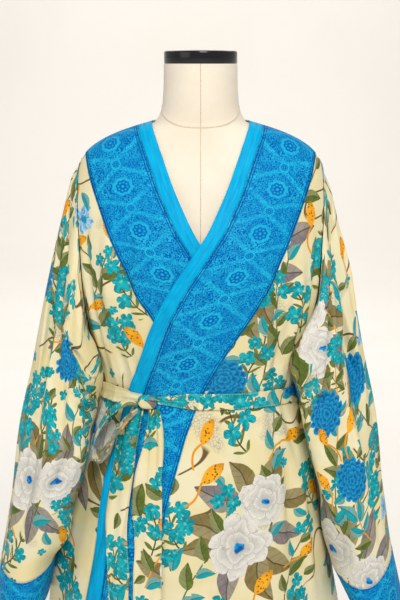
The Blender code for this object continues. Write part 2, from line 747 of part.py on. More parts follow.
def add_sash(materials, collection):
    """The sash: its stretch round the waist, the knot, the loop of the bow and the tails."""
    knot_angle = float(angle_of(KNOT_PLACE, WAIST_HEIGHT))
    knot_middle = front_point(KNOT_PLACE, WAIST_HEIGHT - KNOT_DROP, SASH_LIFT + KNOT_HALF_DEPTH)
    reach = math.degrees((KNOT_HALF_WIDTH - SASH_TUCK) / half_width_at(WAIST_HEIGHT)
                         / math.cos(math.radians(knot_angle)))
    angles = np.linspace(knot_angle + reach, knot_angle + 360.0 - reach, SASH_COLUMNS + 1)
    from_knot = np.minimum(angles - knot_angle, knot_angle + 360.0 - angles)
    widths = SASH_PINCH + (SASH_WIDTH - SASH_PINCH) * ease((from_knot - reach) / SASH_PINCH_TURN)
    rows = []
    for step in (-0.5, 0.0, 0.5):
        rows.append(robe_point(angles, WAIST_HEIGHT + step * widths))
    waist = lifted(np.array(rows), SASH_LIFT)
    add_sheet("sash_waist", waist, materials["print"], collection, SASH_WALL)

    facing = front_normal(knot_angle, WAIST_HEIGHT)
    facing = np.array([facing[0], facing[1], 0.0]) / math.hypot(facing[0], facing[1])
    aside = np.array([-facing[1], facing[0], 0.0])
    upwards = np.array([0.0, 0.0, 1.0])
    shape = bmesh.new()
    bmesh.ops.create_uvsphere(shape, u_segments=16, v_segments=10, radius=1.0)
    for vertex in shape.verts:
        across, deep, tall = (math.copysign(abs(value) ** KNOT_SQUARENESS, value) for value in vertex.co)
        vertex.co = (knot_middle + KNOT_HALF_WIDTH * across * aside
                     - KNOT_HALF_DEPTH * deep * facing + KNOT_HALF_HEIGHT * tall * upwards)
    mesh = bpy.data.meshes.new("sash_knot")
    shape.to_mesh(mesh)
    shape.free()
    add_object("sash_knot", mesh, materials["print"], collection)

    top = WAIST_HEIGHT - KNOT_DROP - KNOT_HALF_HEIGHT - KNOT_GAP
    for name, table in (("sash_tail_right", RIGHT_TAIL), ("sash_tail_left", LEFT_TAIL)):
        heights = np.linspace(TAIL_END_HEIGHT, top, TAIL_ROWS + 1)
        middle, width, lift = through(table, heights)
        steps = np.linspace(-0.5, 0.5, TAIL_COLUMNS + 1)
        across = middle[:, None] + steps[None, :] * width[:, None]
        tall = np.repeat(heights[:, None], TAIL_COLUMNS + 1, 1)
        out = np.repeat(lift[:, None], TAIL_COLUMNS + 1, 1)
        add_sheet(name, front_point(across, tall, out), materials["print"], collection, wall=SASH_WALL)

    places = np.linspace(0, len(BOW_LOOP) - 1, LOOP_SEGMENTS + 1)
    table = [(place, *row) for place, row in enumerate(BOW_LOOP)]
    across, out, height, width = through(table, places)
    middle = np.stack([across, robe_point(angle_of(across, height), height)[:, 1] - out, height], -1)
    turn = math.radians(LOOP_TURN)
    aside = np.array([0.0, -math.cos(turn), -math.sin(turn)])
    grid = np.array([middle + aside * (step * width)[:, None] for step in (-0.5, 0.0, 0.5)])
    add_sheet("sash_loop", grid, materials["print"], collection, wall=SASH_WALL, offset=0.0)


def main():
    start_empty()
    collection = bpy.data.collections.new("kimono_robe_on_dress_form")
    bpy.context.scene.collection.children.link(collection)
    materials = {
        "print": make_material("floral_satin", (0.80, 0.74, 0.55), 0.42),
        "border": make_material("blue_border_satin", (0.005, 0.18, 0.50), 0.42),
        "band": make_material("plain_blue_satin", (0.01, 0.38, 0.70), 0.40),
        "form": make_material("cream_form_cloth", (0.82, 0.76, 0.60), 0.85),
        "cap": make_material("black_gloss_cap", (0.006, 0.007, 0.012), 0.18),
        "metal": make_material("black_painted_metal", (0.012, 0.012, 0.014), 0.40, 0.2),
    }
    add_stand(materials, collection)
    add_form(materials, collection)
    add_robe(materials, collection)
    add_sash(materials, collection)


main()
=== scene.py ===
"""The looks of a kimono robe, tied at the waist, on a limbless dress form.

Metres, +Z up. The front faces -Y and the wearer's left is at +X. The cloth is thin sheets on
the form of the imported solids, worked out from the same sizes with more points and finer creases.
"""
import math

import bmesh
import bpy
import numpy as np
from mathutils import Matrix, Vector
from mathutils.bvhtree import BVHTree


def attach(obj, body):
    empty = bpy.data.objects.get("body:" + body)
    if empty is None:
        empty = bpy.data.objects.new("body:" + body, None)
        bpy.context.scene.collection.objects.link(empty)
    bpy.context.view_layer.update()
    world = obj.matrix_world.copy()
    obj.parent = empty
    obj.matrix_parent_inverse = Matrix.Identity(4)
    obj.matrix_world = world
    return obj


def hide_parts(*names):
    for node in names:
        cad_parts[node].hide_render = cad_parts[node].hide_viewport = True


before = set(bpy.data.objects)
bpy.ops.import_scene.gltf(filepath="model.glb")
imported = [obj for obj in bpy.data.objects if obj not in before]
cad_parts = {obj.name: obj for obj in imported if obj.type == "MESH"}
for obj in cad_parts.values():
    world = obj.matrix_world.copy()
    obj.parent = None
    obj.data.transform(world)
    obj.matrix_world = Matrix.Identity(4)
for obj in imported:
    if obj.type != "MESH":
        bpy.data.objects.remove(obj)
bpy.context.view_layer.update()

# How fine the scene's sheets are: rows for each of the solids' rows, and columns
FINER = 7
BAND_COLUMNS = 5
BORDER_COLUMNS = 20
PRINT_COLUMNS = 52
SHOULDER_COLUMNS = 35
HALF_NECK_COLUMNS = 20
BACK_BAND_COLUMNS = 5
SLEEVE_ROWS = 110
CUFF_ROWS = 14
SASH_COLUMNS = 360
SASH_ROWS = 14
TAIL_ROWS = 100
TAIL_COLUMNS = 18
LOOP_SEGMENTS = 120
LOOP_ROWS = 12
KNOT_SEGMENTS = 56
FORM_SEGMENTS = 96
TORSO_STEPS = 60
SHOULDER_STEPS = 24
NECK_STEPS = 24
TURNED_STEPS = 96
FLAT_ROWS = 160
FLAT_COLUMNS = 361

# The two sides by name, with the sign of x on each
SIDES = (("left", 1), ("right", -1))

# Steps for reading which way the robe faces, and the lengths that count as nothing
TURN_STEP = 0.5
HEIGHT_STEP = 0.004
TINY = 1e-12
POLE_GAP = 1e-6

# The scene's thin cloth, and how far trims and sash lie on it
THIN_WALL = 0.0007
TRIM_LIFT = 0.0011
SASH_LIFT = 0.0024
# How far in from the edge of the border cloth a cuff is cut
CUFF_BAND = 0.004

# Sleeves kept clear of what they hang against: gap, how far it is looked for, fades past the edges of
# the panels and of the sash, length below the armhole where it fades in, and passes
CLEAR_GAP = 0.0016
CLEAR_REACH = 0.03
CLEAR_FADE = 0.006
CLEAR_SASH_FADE = 0.012
CLEAR_START = 0.010
CLEAR_PASSES = 6
# The surface carried on past the panels at the foot of the armhole: half turn, heights over it, steps, fade
UNDERARM_TURN = 40.0
UNDERARM_PATCH = (-0.02, 0.06)
UNDERARM_STEPS = (41, 25)
UNDERARM_FADE = 0.03

# Depths of the sash's small folds where it lies open and where it is gathered, and their waves round
# the waist: share of the depth, waves across it, how far they drift, rate and start of the drift
SASH_FOLD = 0.0008
SASH_GATHER = 0.0022
SASH_WAVES = ((0.65, 1.5, 0.35, 2.3, 0.0), (0.35, 3.2, 0.80, 1.7, 1.0))
TAIL_FOLD = 0.0011
TAIL_GATHER = 0.0028
TAIL_GATHER_LOW = 0.80
TAIL_DRIFT = 0.3
TAIL_DRIFT_RATE = 14
LOOP_FOLD = 0.0012
LOOP_WAVES = 1.5
LOOP_DRIFT = 0.25
LOOP_DRIFT_RATE = 0.7
# Grooves of the knot: turns, share of them across it and up it, start, and depth
KNOT_WRAPS = 3.2
KNOT_WRAP_ACROSS = 0.9
KNOT_WRAP_UP = 0.55
KNOT_WRAP_START = 0.4
KNOT_GROOVE = 0.16

# Where the sash's pieces are cut from the flat print, in metres
SASH_START = (0.60, 0.72)
KNOT_START = (0.66, 0.74)
LOOP_START = (0.63, 0.48)

# Fine creases of the body: degrees round from the front, height, lean in degrees from upright,
# half width, half length, and how far it stands out
BODY_DEGREE = 0.0031
BODY_CREASES = (
    (-86, 0.800, 0, 0.060, 0.230, 0.0100),
    (-86, 0.640, 0, 0.050, 0.130, 0.0110),
    (-34, 1.150, 6, 0.020, 0.150, -0.0068),
    (-46, 1.120, 5, 0.018, 0.170, 0.0068),
    (-60, 1.130, 2, 0.014, 0.140, -0.0076),
    (-8, 1.080, -30, 0.012, 0.090, 0.0051),
    (38, 1.120, -8, 0.018, 0.150, -0.0059),
    (52, 1.080, -6, 0.016, 0.140, 0.0076),
    (63, 1.110, -4, 0.012, 0.130, -0.0076),
    (47, 0.760, 2, 0.016, 0.200, -0.0085),
    (57, 0.740, 0, 0.014, 0.200, 0.0076),
    (22, 0.800, -2, 0.018, 0.180, -0.0068),
    (8, 0.760, 2, 0.016, 0.200, 0.0068),
    (-30, 0.780, 2, 0.014, 0.180, 0.0076),
    (-48, 0.760, 3, 0.016, 0.200, -0.0085),
    (100, 0.760, 2, 0.018, 0.220, 0.0085),
    (126, 0.740, -2, 0.018, 0.220, -0.0085),
    (152, 0.760, 2, 0.018, 0.220, 0.0085),
    (176, 0.750, -1, 0.018, 0.220, -0.0085),
    (-156, 0.760, 2, 0.018, 0.220, 0.0085),
    (-130, 0.740, -3, 0.018, 0.220, -0.0085),
    (140, 1.150, 10, 0.018, 0.140, 0.0076),
    (165, 1.160, 4, 0.018, 0.130, -0.0068),
    (-140, 1.150, -10, 0.018, 0.140, 0.0076),
    (-165, 1.170, -4, 0.018, 0.130, -0.0068),
    (31, 0.988, 10, 0.007, 0.040, -0.0026),
    (38, 1.000, 4, 0.008, 0.055, 0.0035),
    (44, 1.015, 2, 0.009, 0.075, -0.0040),
    (50, 1.002, -4, 0.008, 0.050, 0.0035),
    (56, 1.030, -6, 0.009, 0.090, -0.0048),
    (27, 0.915, -2, 0.007, 0.045, -0.0026),
    (34, 0.905, -3, 0.008, 0.060, 0.0038),
    (41, 0.890, -4, 0.009, 0.085, -0.0045),
    (48, 0.900, -6, 0.008, 0.070, 0.0042),
    (55, 0.880, -8, 0.010, 0.100, -0.0051),
    (-36, 0.995, -8, 0.007, 0.045, -0.0029),
    (-42, 1.005, -4, 0.008, 0.060, 0.0038),
    (-48, 1.020, 0, 0.009, 0.075, -0.0042),
    (-55, 1.000, 4, 0.008, 0.060, 0.0038),
    (-61, 1.030, 7, 0.009, 0.090, -0.0048),
    (-44, 0.905, 3, 0.008, 0.060, 0.0038),
    (-51, 0.890, 5, 0.009, 0.085, -0.0045),
    (-58, 0.900, 7, 0.008, 0.070, 0.0042),
    (73, 0.992, -3, 0.009, 0.060, 0.0035),
    (82, 1.000, 0, 0.009, 0.075, -0.0042),
    (97, 1.002, 2, 0.010, 0.080, 0.0042),
    (109, 0.988, 4, 0.009, 0.055, -0.0035),
    (122, 1.008, 3, 0.011, 0.080, 0.0042),
    (136, 0.992, 6, 0.009, 0.060, -0.0038),
    (150, 1.004, 2, 0.010, 0.070, 0.0038),
    (165, 0.986, -2, 0.009, 0.050, -0.0032),
    (-73, 0.990, 4, 0.009, 0.055, 0.0035),
    (-84, 1.000, 0, 0.009, 0.080, -0.0042),
    (-99, 0.998, -3, 0.010, 0.070, 0.0042),
    (-113, 0.990, -5, 0.009, 0.060, -0.0035),
    (-127, 1.006, -2, 0.011, 0.085, 0.0042),
    (-141, 0.990, -6, 0.009, 0.055, -0.0038),
    (-158, 1.000, 1, 0.010, 0.065, 0.0035),
    (-172, 0.988, 3, 0.009, 0.050, -0.0029),
    (70, 0.895, -4, 0.010, 0.080, 0.0042),
    (86, 0.880, 2, 0.011, 0.100, -0.0048),
    (103, 0.895, 5, 0.010, 0.080, 0.0045),
    (119, 0.885, 3, 0.010, 0.090, -0.0045),
    (133, 0.900, 6, 0.009, 0.070, 0.0042),
    (149, 0.880, 2, 0.011, 0.100, -0.0048),
    (167, 0.900, -3, 0.009, 0.070, 0.0038),
    (-71, 0.890, 6, 0.010, 0.090, 0.0045),
    (-88, 0.885, -2, 0.011, 0.100, -0.0048),
    (-106, 0.900, -5, 0.009, 0.070, 0.0042),
    (-121, 0.880, -3, 0.011, 0.100, -0.0048),
    (-137, 0.895, -6, 0.010, 0.080, 0.0042),
    (-153, 0.885, -1, 0.010, 0.090, -0.0045),
    (-170, 0.900, 4, 0.009, 0.070, 0.0035),
)
# Fine creases of the sleeves: degrees round from the shoulder, metres down, lean in degrees,
# half width, half length, and how far it stands out
SLEEVE_DEGREE = 0.0015
SLEEVE_LENGTH = 0.70
CREASE_START = 0.06
SLEEVE_CREASES = {
    "left": (
        (46, 0.090, 42, 0.008, 0.045, -0.0095),
        (74, 0.105, 48, 0.008, 0.050, -0.0133),
        (94, 0.175, 10, 0.0065, 0.095, -0.0180),
        (88, 0.180, 10, 0.006, 0.090, 0.0050),
        (106, 0.260, 16, 0.007, 0.050, -0.0114),
        (78, 0.180, 12, 0.012, 0.100, 0.0095),
        (140, 0.105, 0, 0.048, 0.100, 0.0130),
        (128, 0.120, 4, 0.010, 0.080, -0.0057),
        (120, 0.190, -68, 0.010, 0.045, 0.0070),
        (122, 0.216, -66, 0.009, 0.045, -0.0085),
        (120, 0.242, -62, 0.009, 0.040, 0.0070),
        (120, 0.266, -58, 0.008, 0.038, -0.0065),
        (60, 0.270, -10, 0.014, 0.150, -0.0085),
        (44, 0.300, -8, 0.014, 0.150, 0.0085),
        (158, 0.580, 0, 0.055, 0.150, 0.0115),
        (104, 0.420, -8, 0.018, 0.120, -0.0102),
        (76, 0.450, -6, 0.020, 0.150, 0.0102),
        (128, 0.470, -6, 0.018, 0.120, 0.0102),
        (48, 0.560, 4, 0.018, 0.110, -0.0085),
        (15, 0.450, 0, 0.012, 0.150, 0.0057),
        (20, 0.200, 3, 0.009, 0.120, 0.0057),
        (210, 0.350, 10, 0.010, 0.120, 0.0076),
        (235, 0.200, 8, 0.012, 0.150, -0.0133),
        (262, 0.160, -4, 0.010, 0.140, 0.0114),
        (290, 0.240, 4, 0.012, 0.160, -0.0114),
        (318, 0.340, 0, 0.014, 0.180, 0.0068),
        (246, 0.300, -50, 0.009, 0.050, -0.0114),
        (240, 0.330, -46, 0.009, 0.050, 0.0095),
        (250, 0.500, -6, 0.016, 0.120, -0.0102),
        (282, 0.560, 3, 0.016, 0.100, 0.0085),
    ),
    "right": (
        (48, 0.080, 30, 0.008, 0.060, -0.0076),
        (60, 0.150, 10, 0.010, 0.100, 0.0095),
        (76, 0.190, 12, 0.013, 0.120, -0.0133),
        (84, 0.330, 14, 0.011, 0.110, 0.0095),
        (112, 0.080, 6, 0.012, 0.080, 0.0076),
        (163, 0.110, 0, 0.062, 0.115, 0.0200),
        (160, 0.340, 0, 0.055, 0.280, 0.0070),
        (161, 0.210, 0, 0.035, 0.075, 0.0085),
        (150, 0.070, 0, 0.030, 0.050, 0.0070),
        (165, 0.595, 0, 0.060, 0.105, 0.0090),
        (116, 0.170, -62, 0.012, 0.060, -0.0152),
        (122, 0.197, -60, 0.009, 0.062, 0.0133),
        (126, 0.218, -58, 0.008, 0.056, -0.0095),
        (128, 0.237, -56, 0.008, 0.052, 0.0095),
        (132, 0.258, -54, 0.008, 0.046, -0.0095),
        (134, 0.278, -50, 0.008, 0.040, 0.0076),
        (100, 0.300, 4, 0.018, 0.110, -0.0085),
        (58, 0.330, 6, 0.014, 0.150, -0.0102),
        (40, 0.300, 6, 0.012, 0.150, 0.0076),
        (118, 0.420, -10, 0.016, 0.110, -0.0102),
        (98, 0.460, -8, 0.020, 0.130, 0.0119),
        (70, 0.520, -4, 0.018, 0.120, -0.0085),
        (45, 0.540, 4, 0.018, 0.120, 0.0085),
        (15, 0.460, 0, 0.012, 0.150, 0.0057),
        (212, 0.330, 8, 0.010, 0.120, 0.0076),
        (238, 0.220, 6, 0.012, 0.140, -0.0133),
        (266, 0.160, -3, 0.010, 0.130, 0.0114),
        (293, 0.260, 5, 0.012, 0.150, -0.0114),
        (322, 0.340, 0, 0.014, 0.180, 0.0068),
        (250, 0.300, -48, 0.009, 0.050, -0.0114),
        (244, 0.330, -44, 0.009, 0.050, 0.0095),
        (248, 0.520, -5, 0.016, 0.120, -0.0102),
        (280, 0.570, 4, 0.016, 0.100, 0.0085),
    ),
}

# Raised seams of the form: points across one, height over it, depth under it, place and half width
SEAM_COLUMNS = 7
SEAM_RISE = 0.0006
SEAM_SINK = 0.0003
NECK_SEAM_SIDE = 1.412
NECK_SEAM_DIP = 0.0315
NECK_SEAM_HALF = 0.0013
MIDDLE_SEAM_LOW = 0.80
MIDDLE_SEAM_HALF = 0.0009
# Stitches: pitch, half length, half width, half thickness, and how far inside an edge a row lies
STITCH_PITCH = 0.0034
STITCH_HALF = 0.0014
STITCH_SIDE = 0.00032
STITCH_RISE = 0.00022
EDGE_ROW = 0.0018
HEM_DEPTH_ROWS = 2
CUFF_STITCH_ROW = 2

# Gaps of the seams, and of those that lie on a bend
SEAM_GAP = 0.0003
BENT_SEAM_GAP = 0.0007

# Heights of the robe
HEM_HEIGHT = 0.235
WAIST_HEIGHT = 0.9525
UNDERARM_HEIGHT = 1.030
SHOULDER_END_HEIGHT = 1.330
NECK_HEIGHT = 1.387

# Rings of the worn robe: height, half width, depth to the front, depth to the back
ROBE_RINGS = (
    (0.235, 0.292, 0.200, 0.204),
    (0.450, 0.264, 0.184, 0.186),
    (0.560, 0.245, 0.174, 0.174),
    (0.650, 0.228, 0.164, 0.165),
    (0.750, 0.207, 0.152, 0.152),
    (0.820, 0.194, 0.143, 0.140),
    (0.870, 0.184, 0.136, 0.131),
    (0.930, 0.168, 0.126, 0.117),
    (0.9525, 0.162, 0.122, 0.112),
    (0.990, 0.166, 0.125, 0.111),
    (1.050, 0.181, 0.133, 0.112),
    (1.120, 0.198, 0.139, 0.115),
    (1.180, 0.206, 0.137, 0.117),
    (1.240, 0.206, 0.121, 0.115),
    (1.290, 0.199, 0.097, 0.107),
    (1.315, 0.1935, 0.081, 0.097),
    (1.330, 0.187, 0.0735, 0.091),
    (1.342, 0.1775, 0.0685, 0.086),
    (1.353, 0.1635, 0.0645, 0.081),
    (1.365, 0.1415, 0.0605, 0.0755),
    (1.376, 0.1130, 0.0580, 0.0700),
    (1.387, 0.0765, 0.0566, 0.0636),
)
# How far the skirt hangs off to the wearer's right, and the height where that starts
SKIRT_SWAY = -0.010
SWAY_HEIGHTS = (0.560, 0.900)

# Rings of the dress form below the shoulders, and of its neck, in the same columns
TORSO_RINGS = (
    (0.620, 0.160, 0.100, 0.110),
    (0.626, 0.165, 0.105, 0.115),
    (0.700, 0.176, 0.110, 0.124),
    (0.780, 0.174, 0.109, 0.121),
    (0.880, 0.152, 0.101, 0.101),
    (0.970, 0.128, 0.090, 0.086),
    (1.060, 0.140, 0.103, 0.095),
    (1.140, 0.157, 0.126, 0.103),
    (1.200, 0.172, 0.120, 0.107),
    (1.260, 0.184, 0.099, 0.106),
    (1.300, 0.187, 0.085, 0.099),
    (1.318, 0.184, 0.0775, 0.0920),
    (1.328, 0.181, 0.0730, 0.0880),
)
NECK_RINGS = (
    (1.3865, 0.0722, 0.0538, 0.0588),
    (1.395, 0.0662, 0.0545, 0.0578),
    (1.405, 0.0622, 0.0555, 0.0573),
    (1.430, 0.0590, 0.0565, 0.0570),
    (1.476, 0.0575, 0.0570, 0.0570),
)
# How far the form keeps inside the robe at the shoulders, and its lowest and highest section there
SHOULDER_CLEARANCE = 0.0019
FRONT_CLEARANCE = 0.0018
BACK_CLEARANCE = 0.0030
SHOULDER_HEIGHTS = (1.3370, 1.3795)
# The steepest bend of the form's cover that is still shaded smooth, in degrees
FORM_SHARP = 50
# The neck cap, with the crown of its top: share of the radius, share of the crown's height
CAP_HEIGHT = 0.0195
CAP_RADIUS = 0.0573
CAP_ROUNDING = 0.0030
CAP_STEPS = 7
CAP_EDGE = 0.0012
CAP_CROWN = 0.0015
CAP_CROWN_ROWS = ((0.0, 1.0), (0.3, 0.95), (0.6, 0.6))

# Free edge of the front that lies over: height, distance from the middle
FREE_EDGE = (
    (0.235, -0.225),
    (0.450, -0.200),
    (0.622, -0.1762),
    (0.721, -0.1661),
    (0.785, -0.1590),
    (0.847, -0.1490),
    (0.9305, -0.1225),
    (0.973, -0.1099),
    (1.026, -0.0941),
    (1.079, -0.0773),
    (1.114, -0.0615),
    (1.149, -0.0423),
    (1.1795, -0.0219),
    (1.210, -0.0010),
    (1.2276, 0.0105),
    (1.2547, 0.0240),
    (1.290, 0.0405),
    (1.3358, 0.0580),
    (1.387, 0.0765),
)
# Outer edge of the wide border on that front: height, distance from the middle
BORDER_EDGE = (
    (0.235, -0.0850),
    (0.450, -0.0750),
    (0.650, -0.0630),
    (0.712, -0.0583),
    (0.783, -0.0520),
    (0.865, -0.0335),
    (0.8947, -0.0244),
    (0.954, 0.0000),
    (0.990, 0.0160),
    (1.044, 0.0425),
    (1.099, 0.0790),
    (1.148, 0.1085),
    (1.2127, 0.1365),
    (1.277, 0.1630),
    (1.303, 0.1725),
    (1.3376, 0.1810),
)
BAND_WIDTH = 0.024
UNDERLAP_DEPTH = 0.0054
UNDERLAP_HEM_DEPTH = 0.0090
UNDERLAP_FADE = 0.030
UNDERLAP_MARGIN = 0.010

# The rows of a panel: heights up the side seam, of which three lie under the sash, and then
# depths below the shoulder line, closer together where the cloth rounds over the shoulder
SASH_WIDTH = 0.027
SIDE_SEAM_HEIGHTS = (HEM_HEIGHT, 0.345, 0.455, 0.560, 0.655, 0.740, 0.815, 0.875, 0.920,
                     WAIST_HEIGHT - SASH_WIDTH / 2, WAIST_HEIGHT, WAIST_HEIGHT + SASH_WIDTH / 2,
                     0.998, UNDERARM_HEIGHT)
ARMHOLE_DEPTHS = (0.292, 0.268, 0.235, 0.198, 0.160, 0.120, 0.083, 0.050, 0.0233, 0.0087, 0.0020, 0.0)
NECKBAND_ROWS = 3
# How far round from the front the armhole seam lies at its widest, in degrees short of the side
ARMHOLE_TURN = 24.0
ARMHOLE_ROUNDING = 0.6

# Upright folds of the robe below the waist: degrees round from the front, half width in degrees,
# depth at the hem, height where they fade out
SKIRT_FOLDS = (
    (-90, 12, 0.008, 0.900),
    (-68, 12, -0.008, 0.890),
    (-46, 12, 0.007, 0.860),
    (4, 16, -0.005, 0.780),
    (30, 14, 0.007, 0.860),
    (52, 12, -0.008, 0.890),
    (90, 12, 0.008, 0.900),
    (114, 13, -0.010, 0.900),
    (136, 13, 0.008, 0.890),
    (160, 13, -0.009, 0.900),
    (-176, 13, 0.008, 0.890),
    (-152, 13, -0.009, 0.900),
    (-130, 12, 0.007, 0.890),
    (-112, 12, -0.009, 0.900),
)
FOLD_GROWTH = 0.7
# Soft folds above the waist: degrees round from the front, half width in degrees, depth,
# lowest, deepest and highest point
BODICE_FOLDS = (
    (48, 9, -0.006, 0.975, 1.040, 1.150),
    (63, 9, 0.005, 0.985, 1.060, 1.200),
    (-46, 9, -0.005, 0.975, 1.040, 1.160),
    (-62, 9, 0.005, 0.985, 1.060, 1.200),
    (150, 14, -0.005, 0.975, 1.030, 1.180),
    (-148, 14, -0.005, 0.975, 1.030, 1.180),
    (178, 12, 0.004, 0.975, 1.030, 1.200),
)

# Sleeves: the seam where the cuff is sewn on, and the cuff's lower edge
# (middle, half width, middle of the depth, half depth, height, rise at the outside, rise at both sides)
CUFF_SEAMS = {
    "left": (0.2708, 0.0505, -0.035, 0.085, 0.6590, 0.0155, 0.0133),
    "right": (0.2895, 0.0465, -0.035, 0.085, 0.6625, 0.0000, 0.0075),
}
CUFF_EDGES = {
    "left": (0.2965, 0.0450, -0.037, 0.088, 0.5830, 0.0055, 0.0148),
    "right": (0.3020, 0.0440, -0.037, 0.088, 0.5850, -0.0050, 0.0100),
}
SLEEVE_START = 0.0018
SLEEVE_END_FADE = 0.12
# Drapes of a sleeve: degrees round from the shoulder, half width in degrees, place along
# it, half length, share of its length where it grows, push outwards, push to the back
SLEEVE_DRAPES = {
    "left": (
        (136, 56, 0.28, 0.68, 0.18, -0.041, -0.031),
        (122, 26, 0.27, 0.45, 0.18, -0.006, -0.004),
        (97, 24, 0.26, 0.30, 0.18, 0.000, -0.010),
        (58, 22, 0.30, 0.45, 0.18, -0.006, 0.010),
        (0, 75, 0.38, 0.72, 0.08, 0.0145, 0.000),
        (230, 60, 0.30, 0.45, 0.18, -0.020, 0.018),
        (290, 24, 0.40, 0.50, 0.18, -0.006, -0.008),
        (100, 34, 0.78, 0.30, 0.18, 0.000, -0.010),
    ),
    "right": (
        (140, 62, 0.50, 0.75, 0.18, -0.030, -0.030),
        (92, 24, 0.25, 0.30, 0.18, -0.002, -0.012),
        (52, 22, 0.34, 0.50, 0.18, -0.006, 0.010),
        (0, 75, 0.32, 0.75, 0.05, 0.0150, 0.000),
        (232, 60, 0.30, 0.45, 0.18, -0.020, 0.018),
        (285, 24, 0.45, 0.50, 0.18, -0.006, -0.008),
        (105, 34, 0.75, 0.30, 0.18, 0.000, -0.010),
    ),
}

# Sash: it lies on everything else at the waist, a little lower at the wearer's left
SASH_PINCH = 0.014
SASH_PINCH_TURN = 22.0
SASH_TUCK = 0.0035
SASH_TILT = -0.002
SASH_FRONT_RISE = 0.0115
SASH_REACH = 0.11
KNOT_PLACE = -0.0790
KNOT_DROP = 0.004
KNOT_HALF_WIDTH = 0.0150
KNOT_HALF_HEIGHT = 0.0105
KNOT_HALF_DEPTH = 0.0085
KNOT_GAP = 0.0002
KNOT_SQUARENESS = 0.6
TAIL_END_HEIGHT = 0.430
# Tails: height, middle, width, distance from the robe
RIGHT_TAIL = (
    (0.430, -0.1210, 0.0360, 0.0065),
    (0.640, -0.1210, 0.0345, 0.0065),
    (0.748, -0.1243, 0.0360, 0.0065),
    (0.805, -0.1224, 0.0385, 0.0065),
    (0.837, -0.1193, 0.0395, 0.0070),
    (0.874, -0.1155, 0.0385, 0.0075),
    (0.910, -0.1055, 0.0330, 0.0080),
    (0.930, -0.0970, 0.0240, 0.0085),
    (0.950, -0.0885, 0.0140, 0.0085),
)
LEFT_TAIL = (
    (0.430, -0.0750, 0.0450, 0.0060),
    (0.650, -0.0750, 0.0447, 0.0060),
    (0.8085, -0.0778, 0.0415, 0.0060),
    (0.846, -0.0765, 0.0370, 0.0065),
    (0.8976, -0.0705, 0.0280, 0.0070),
    (0.9145, -0.0698, 0.0240, 0.0080),
    (0.930, -0.0705, 0.0190, 0.0085),
    (0.950, -0.0725, 0.0130, 0.0085),
)
# Each tail's table, waves across it, their start, and where it is cut from the flat print
TAILS = {"sash_tail_right": (RIGHT_TAIL, 1.6, 0.4, (0.26, -0.06)),
         "sash_tail_left": (LEFT_TAIL, 2.1, 2.0, (0.20, 0.45))}
# The one loop of the bow: distance from the middle, distance from the robe, height, width
BOW_LOOP = (
    (-0.0990, 0.0190, 0.9560, 0.0085),
    (-0.1130, 0.0270, 0.9590, 0.0180),
    (-0.1320, 0.0350, 0.9490, 0.0260),
    (-0.1500, 0.0380, 0.9290, 0.0290),
    (-0.1650, 0.0380, 0.9010, 0.0300),
    (-0.1740, 0.0370, 0.8760, 0.0300),
    (-0.1710, 0.0360, 0.8650, 0.0300),
    (-0.1600, 0.0350, 0.8680, 0.0300),
    (-0.1460, 0.0340, 0.8870, 0.0290),
    (-0.1310, 0.0320, 0.9120, 0.0250),
    (-0.1130, 0.0260, 0.9360, 0.0170),
    (-0.0990, 0.0190, 0.9470, 0.0085),
)
LOOP_TURN = 20.0

# The photograph's view: the lens and the tilt found from the object's own sizes
PHOTO_HEIGHT = 600
PHOTO_FOCAL = 1062
SENSOR = 36.0
CAMERA_PLACE = (-0.001, -1.700, 1.475)
CAMERA_TILT = 12.5

# The studio
FLOOR_FRONT = -7.0
FLOOR_BACK = 5.6
WALL_ROUNDING = 1.5
WALL_STEPS = 17
WALL_HEIGHT = 5.0
WALL_HALF_WIDTH = 8.0
WORLD_STRENGTH = 0.46
DAYLIGHT = (1.0, 0.985, 0.96)
# Lamps: place, size, power, colour, and what they point at
LAMPS = {
    "key": ((0.35, -2.2, 3.0), (0.9, 0.9), 58, DAYLIGHT, (0.0, 0.0, 0.95)),
    "fill": ((-2.2, -1.8, 1.6), (1.6, 2.0), 8, (1.0, 0.99, 0.98), (0.0, 0.0, 0.95)),
    "background": ((0.0, 3.6, 4.2), (5.0, 4.0), 120, DAYLIGHT, (0.0, 5.2, 0.0)),
}

# The print's layers, from the lowest up, with how slim their motifs are
LAYERS = {"bloom": 1.0, "sprig": 0.5, "leaf_far": 0.5, "leaf_near": 0.5, "stem": 0.35,
          "leaf_vine": 0.5, "peony": 1.0,
          "blossom_far": 1.0, "blossom_near": 1.0, "pompom": 1.0, "bud": 0.4}
# Bouquets: reach, leaves, and how far out a leaf lies at least and more in line with the peonies
BOUQUET_REACH = 0.105
BOUQUET_LEAVES = 10
LEAF_OUT = 0.060
LEAF_OUT_MORE = 0.032
# Vines: half a stem, how many stems, and how far past the last one its blossoms lie
STEM_HALF = 0.0135
VINE_LENGTHS = (7, 12)
VINE_BLOSSOM_OUT = 0.013
# Pompoms for each peony, how far out their leaves lie, and clusters for each square metre
POMPOM_SHARE = 0.8
POMPOM_LEAF_OUT = 0.036
CLUSTERS_PER_AREA = 40
# Single motifs: shares of draws up to which one is a bud, a bloom or a sprig, and of leaves among the small
BUD_SHARE = 0.56
BLOOM_SHARE = 0.73
SPRIG_SHARE = 0.84
SMALL_LEAF_SHARE = 0.55
# The flat cloth of the body and of the sleeves: area, bouquets given one by one, middle of the back, and
# seeds
BODY_AREA = (-0.46, 1.34, -0.05, 1.34)
BODY_BOUQUETS = ((0.085, 0.530), (-0.215, 0.250), (0.640, 0.900), (0.560, 0.420))
SLEEVE_AREA = (-0.36, 0.36, -0.04, 0.78)
SLEEVE_BOUQUETS = {"left": ((-0.20, 0.30),), "right": ((0.115, 0.170),)}
BACK_MIDDLE = 0.66
BODY_SEED = 11
SLEEVE_SEEDS = {"left": 21, "right": 32}
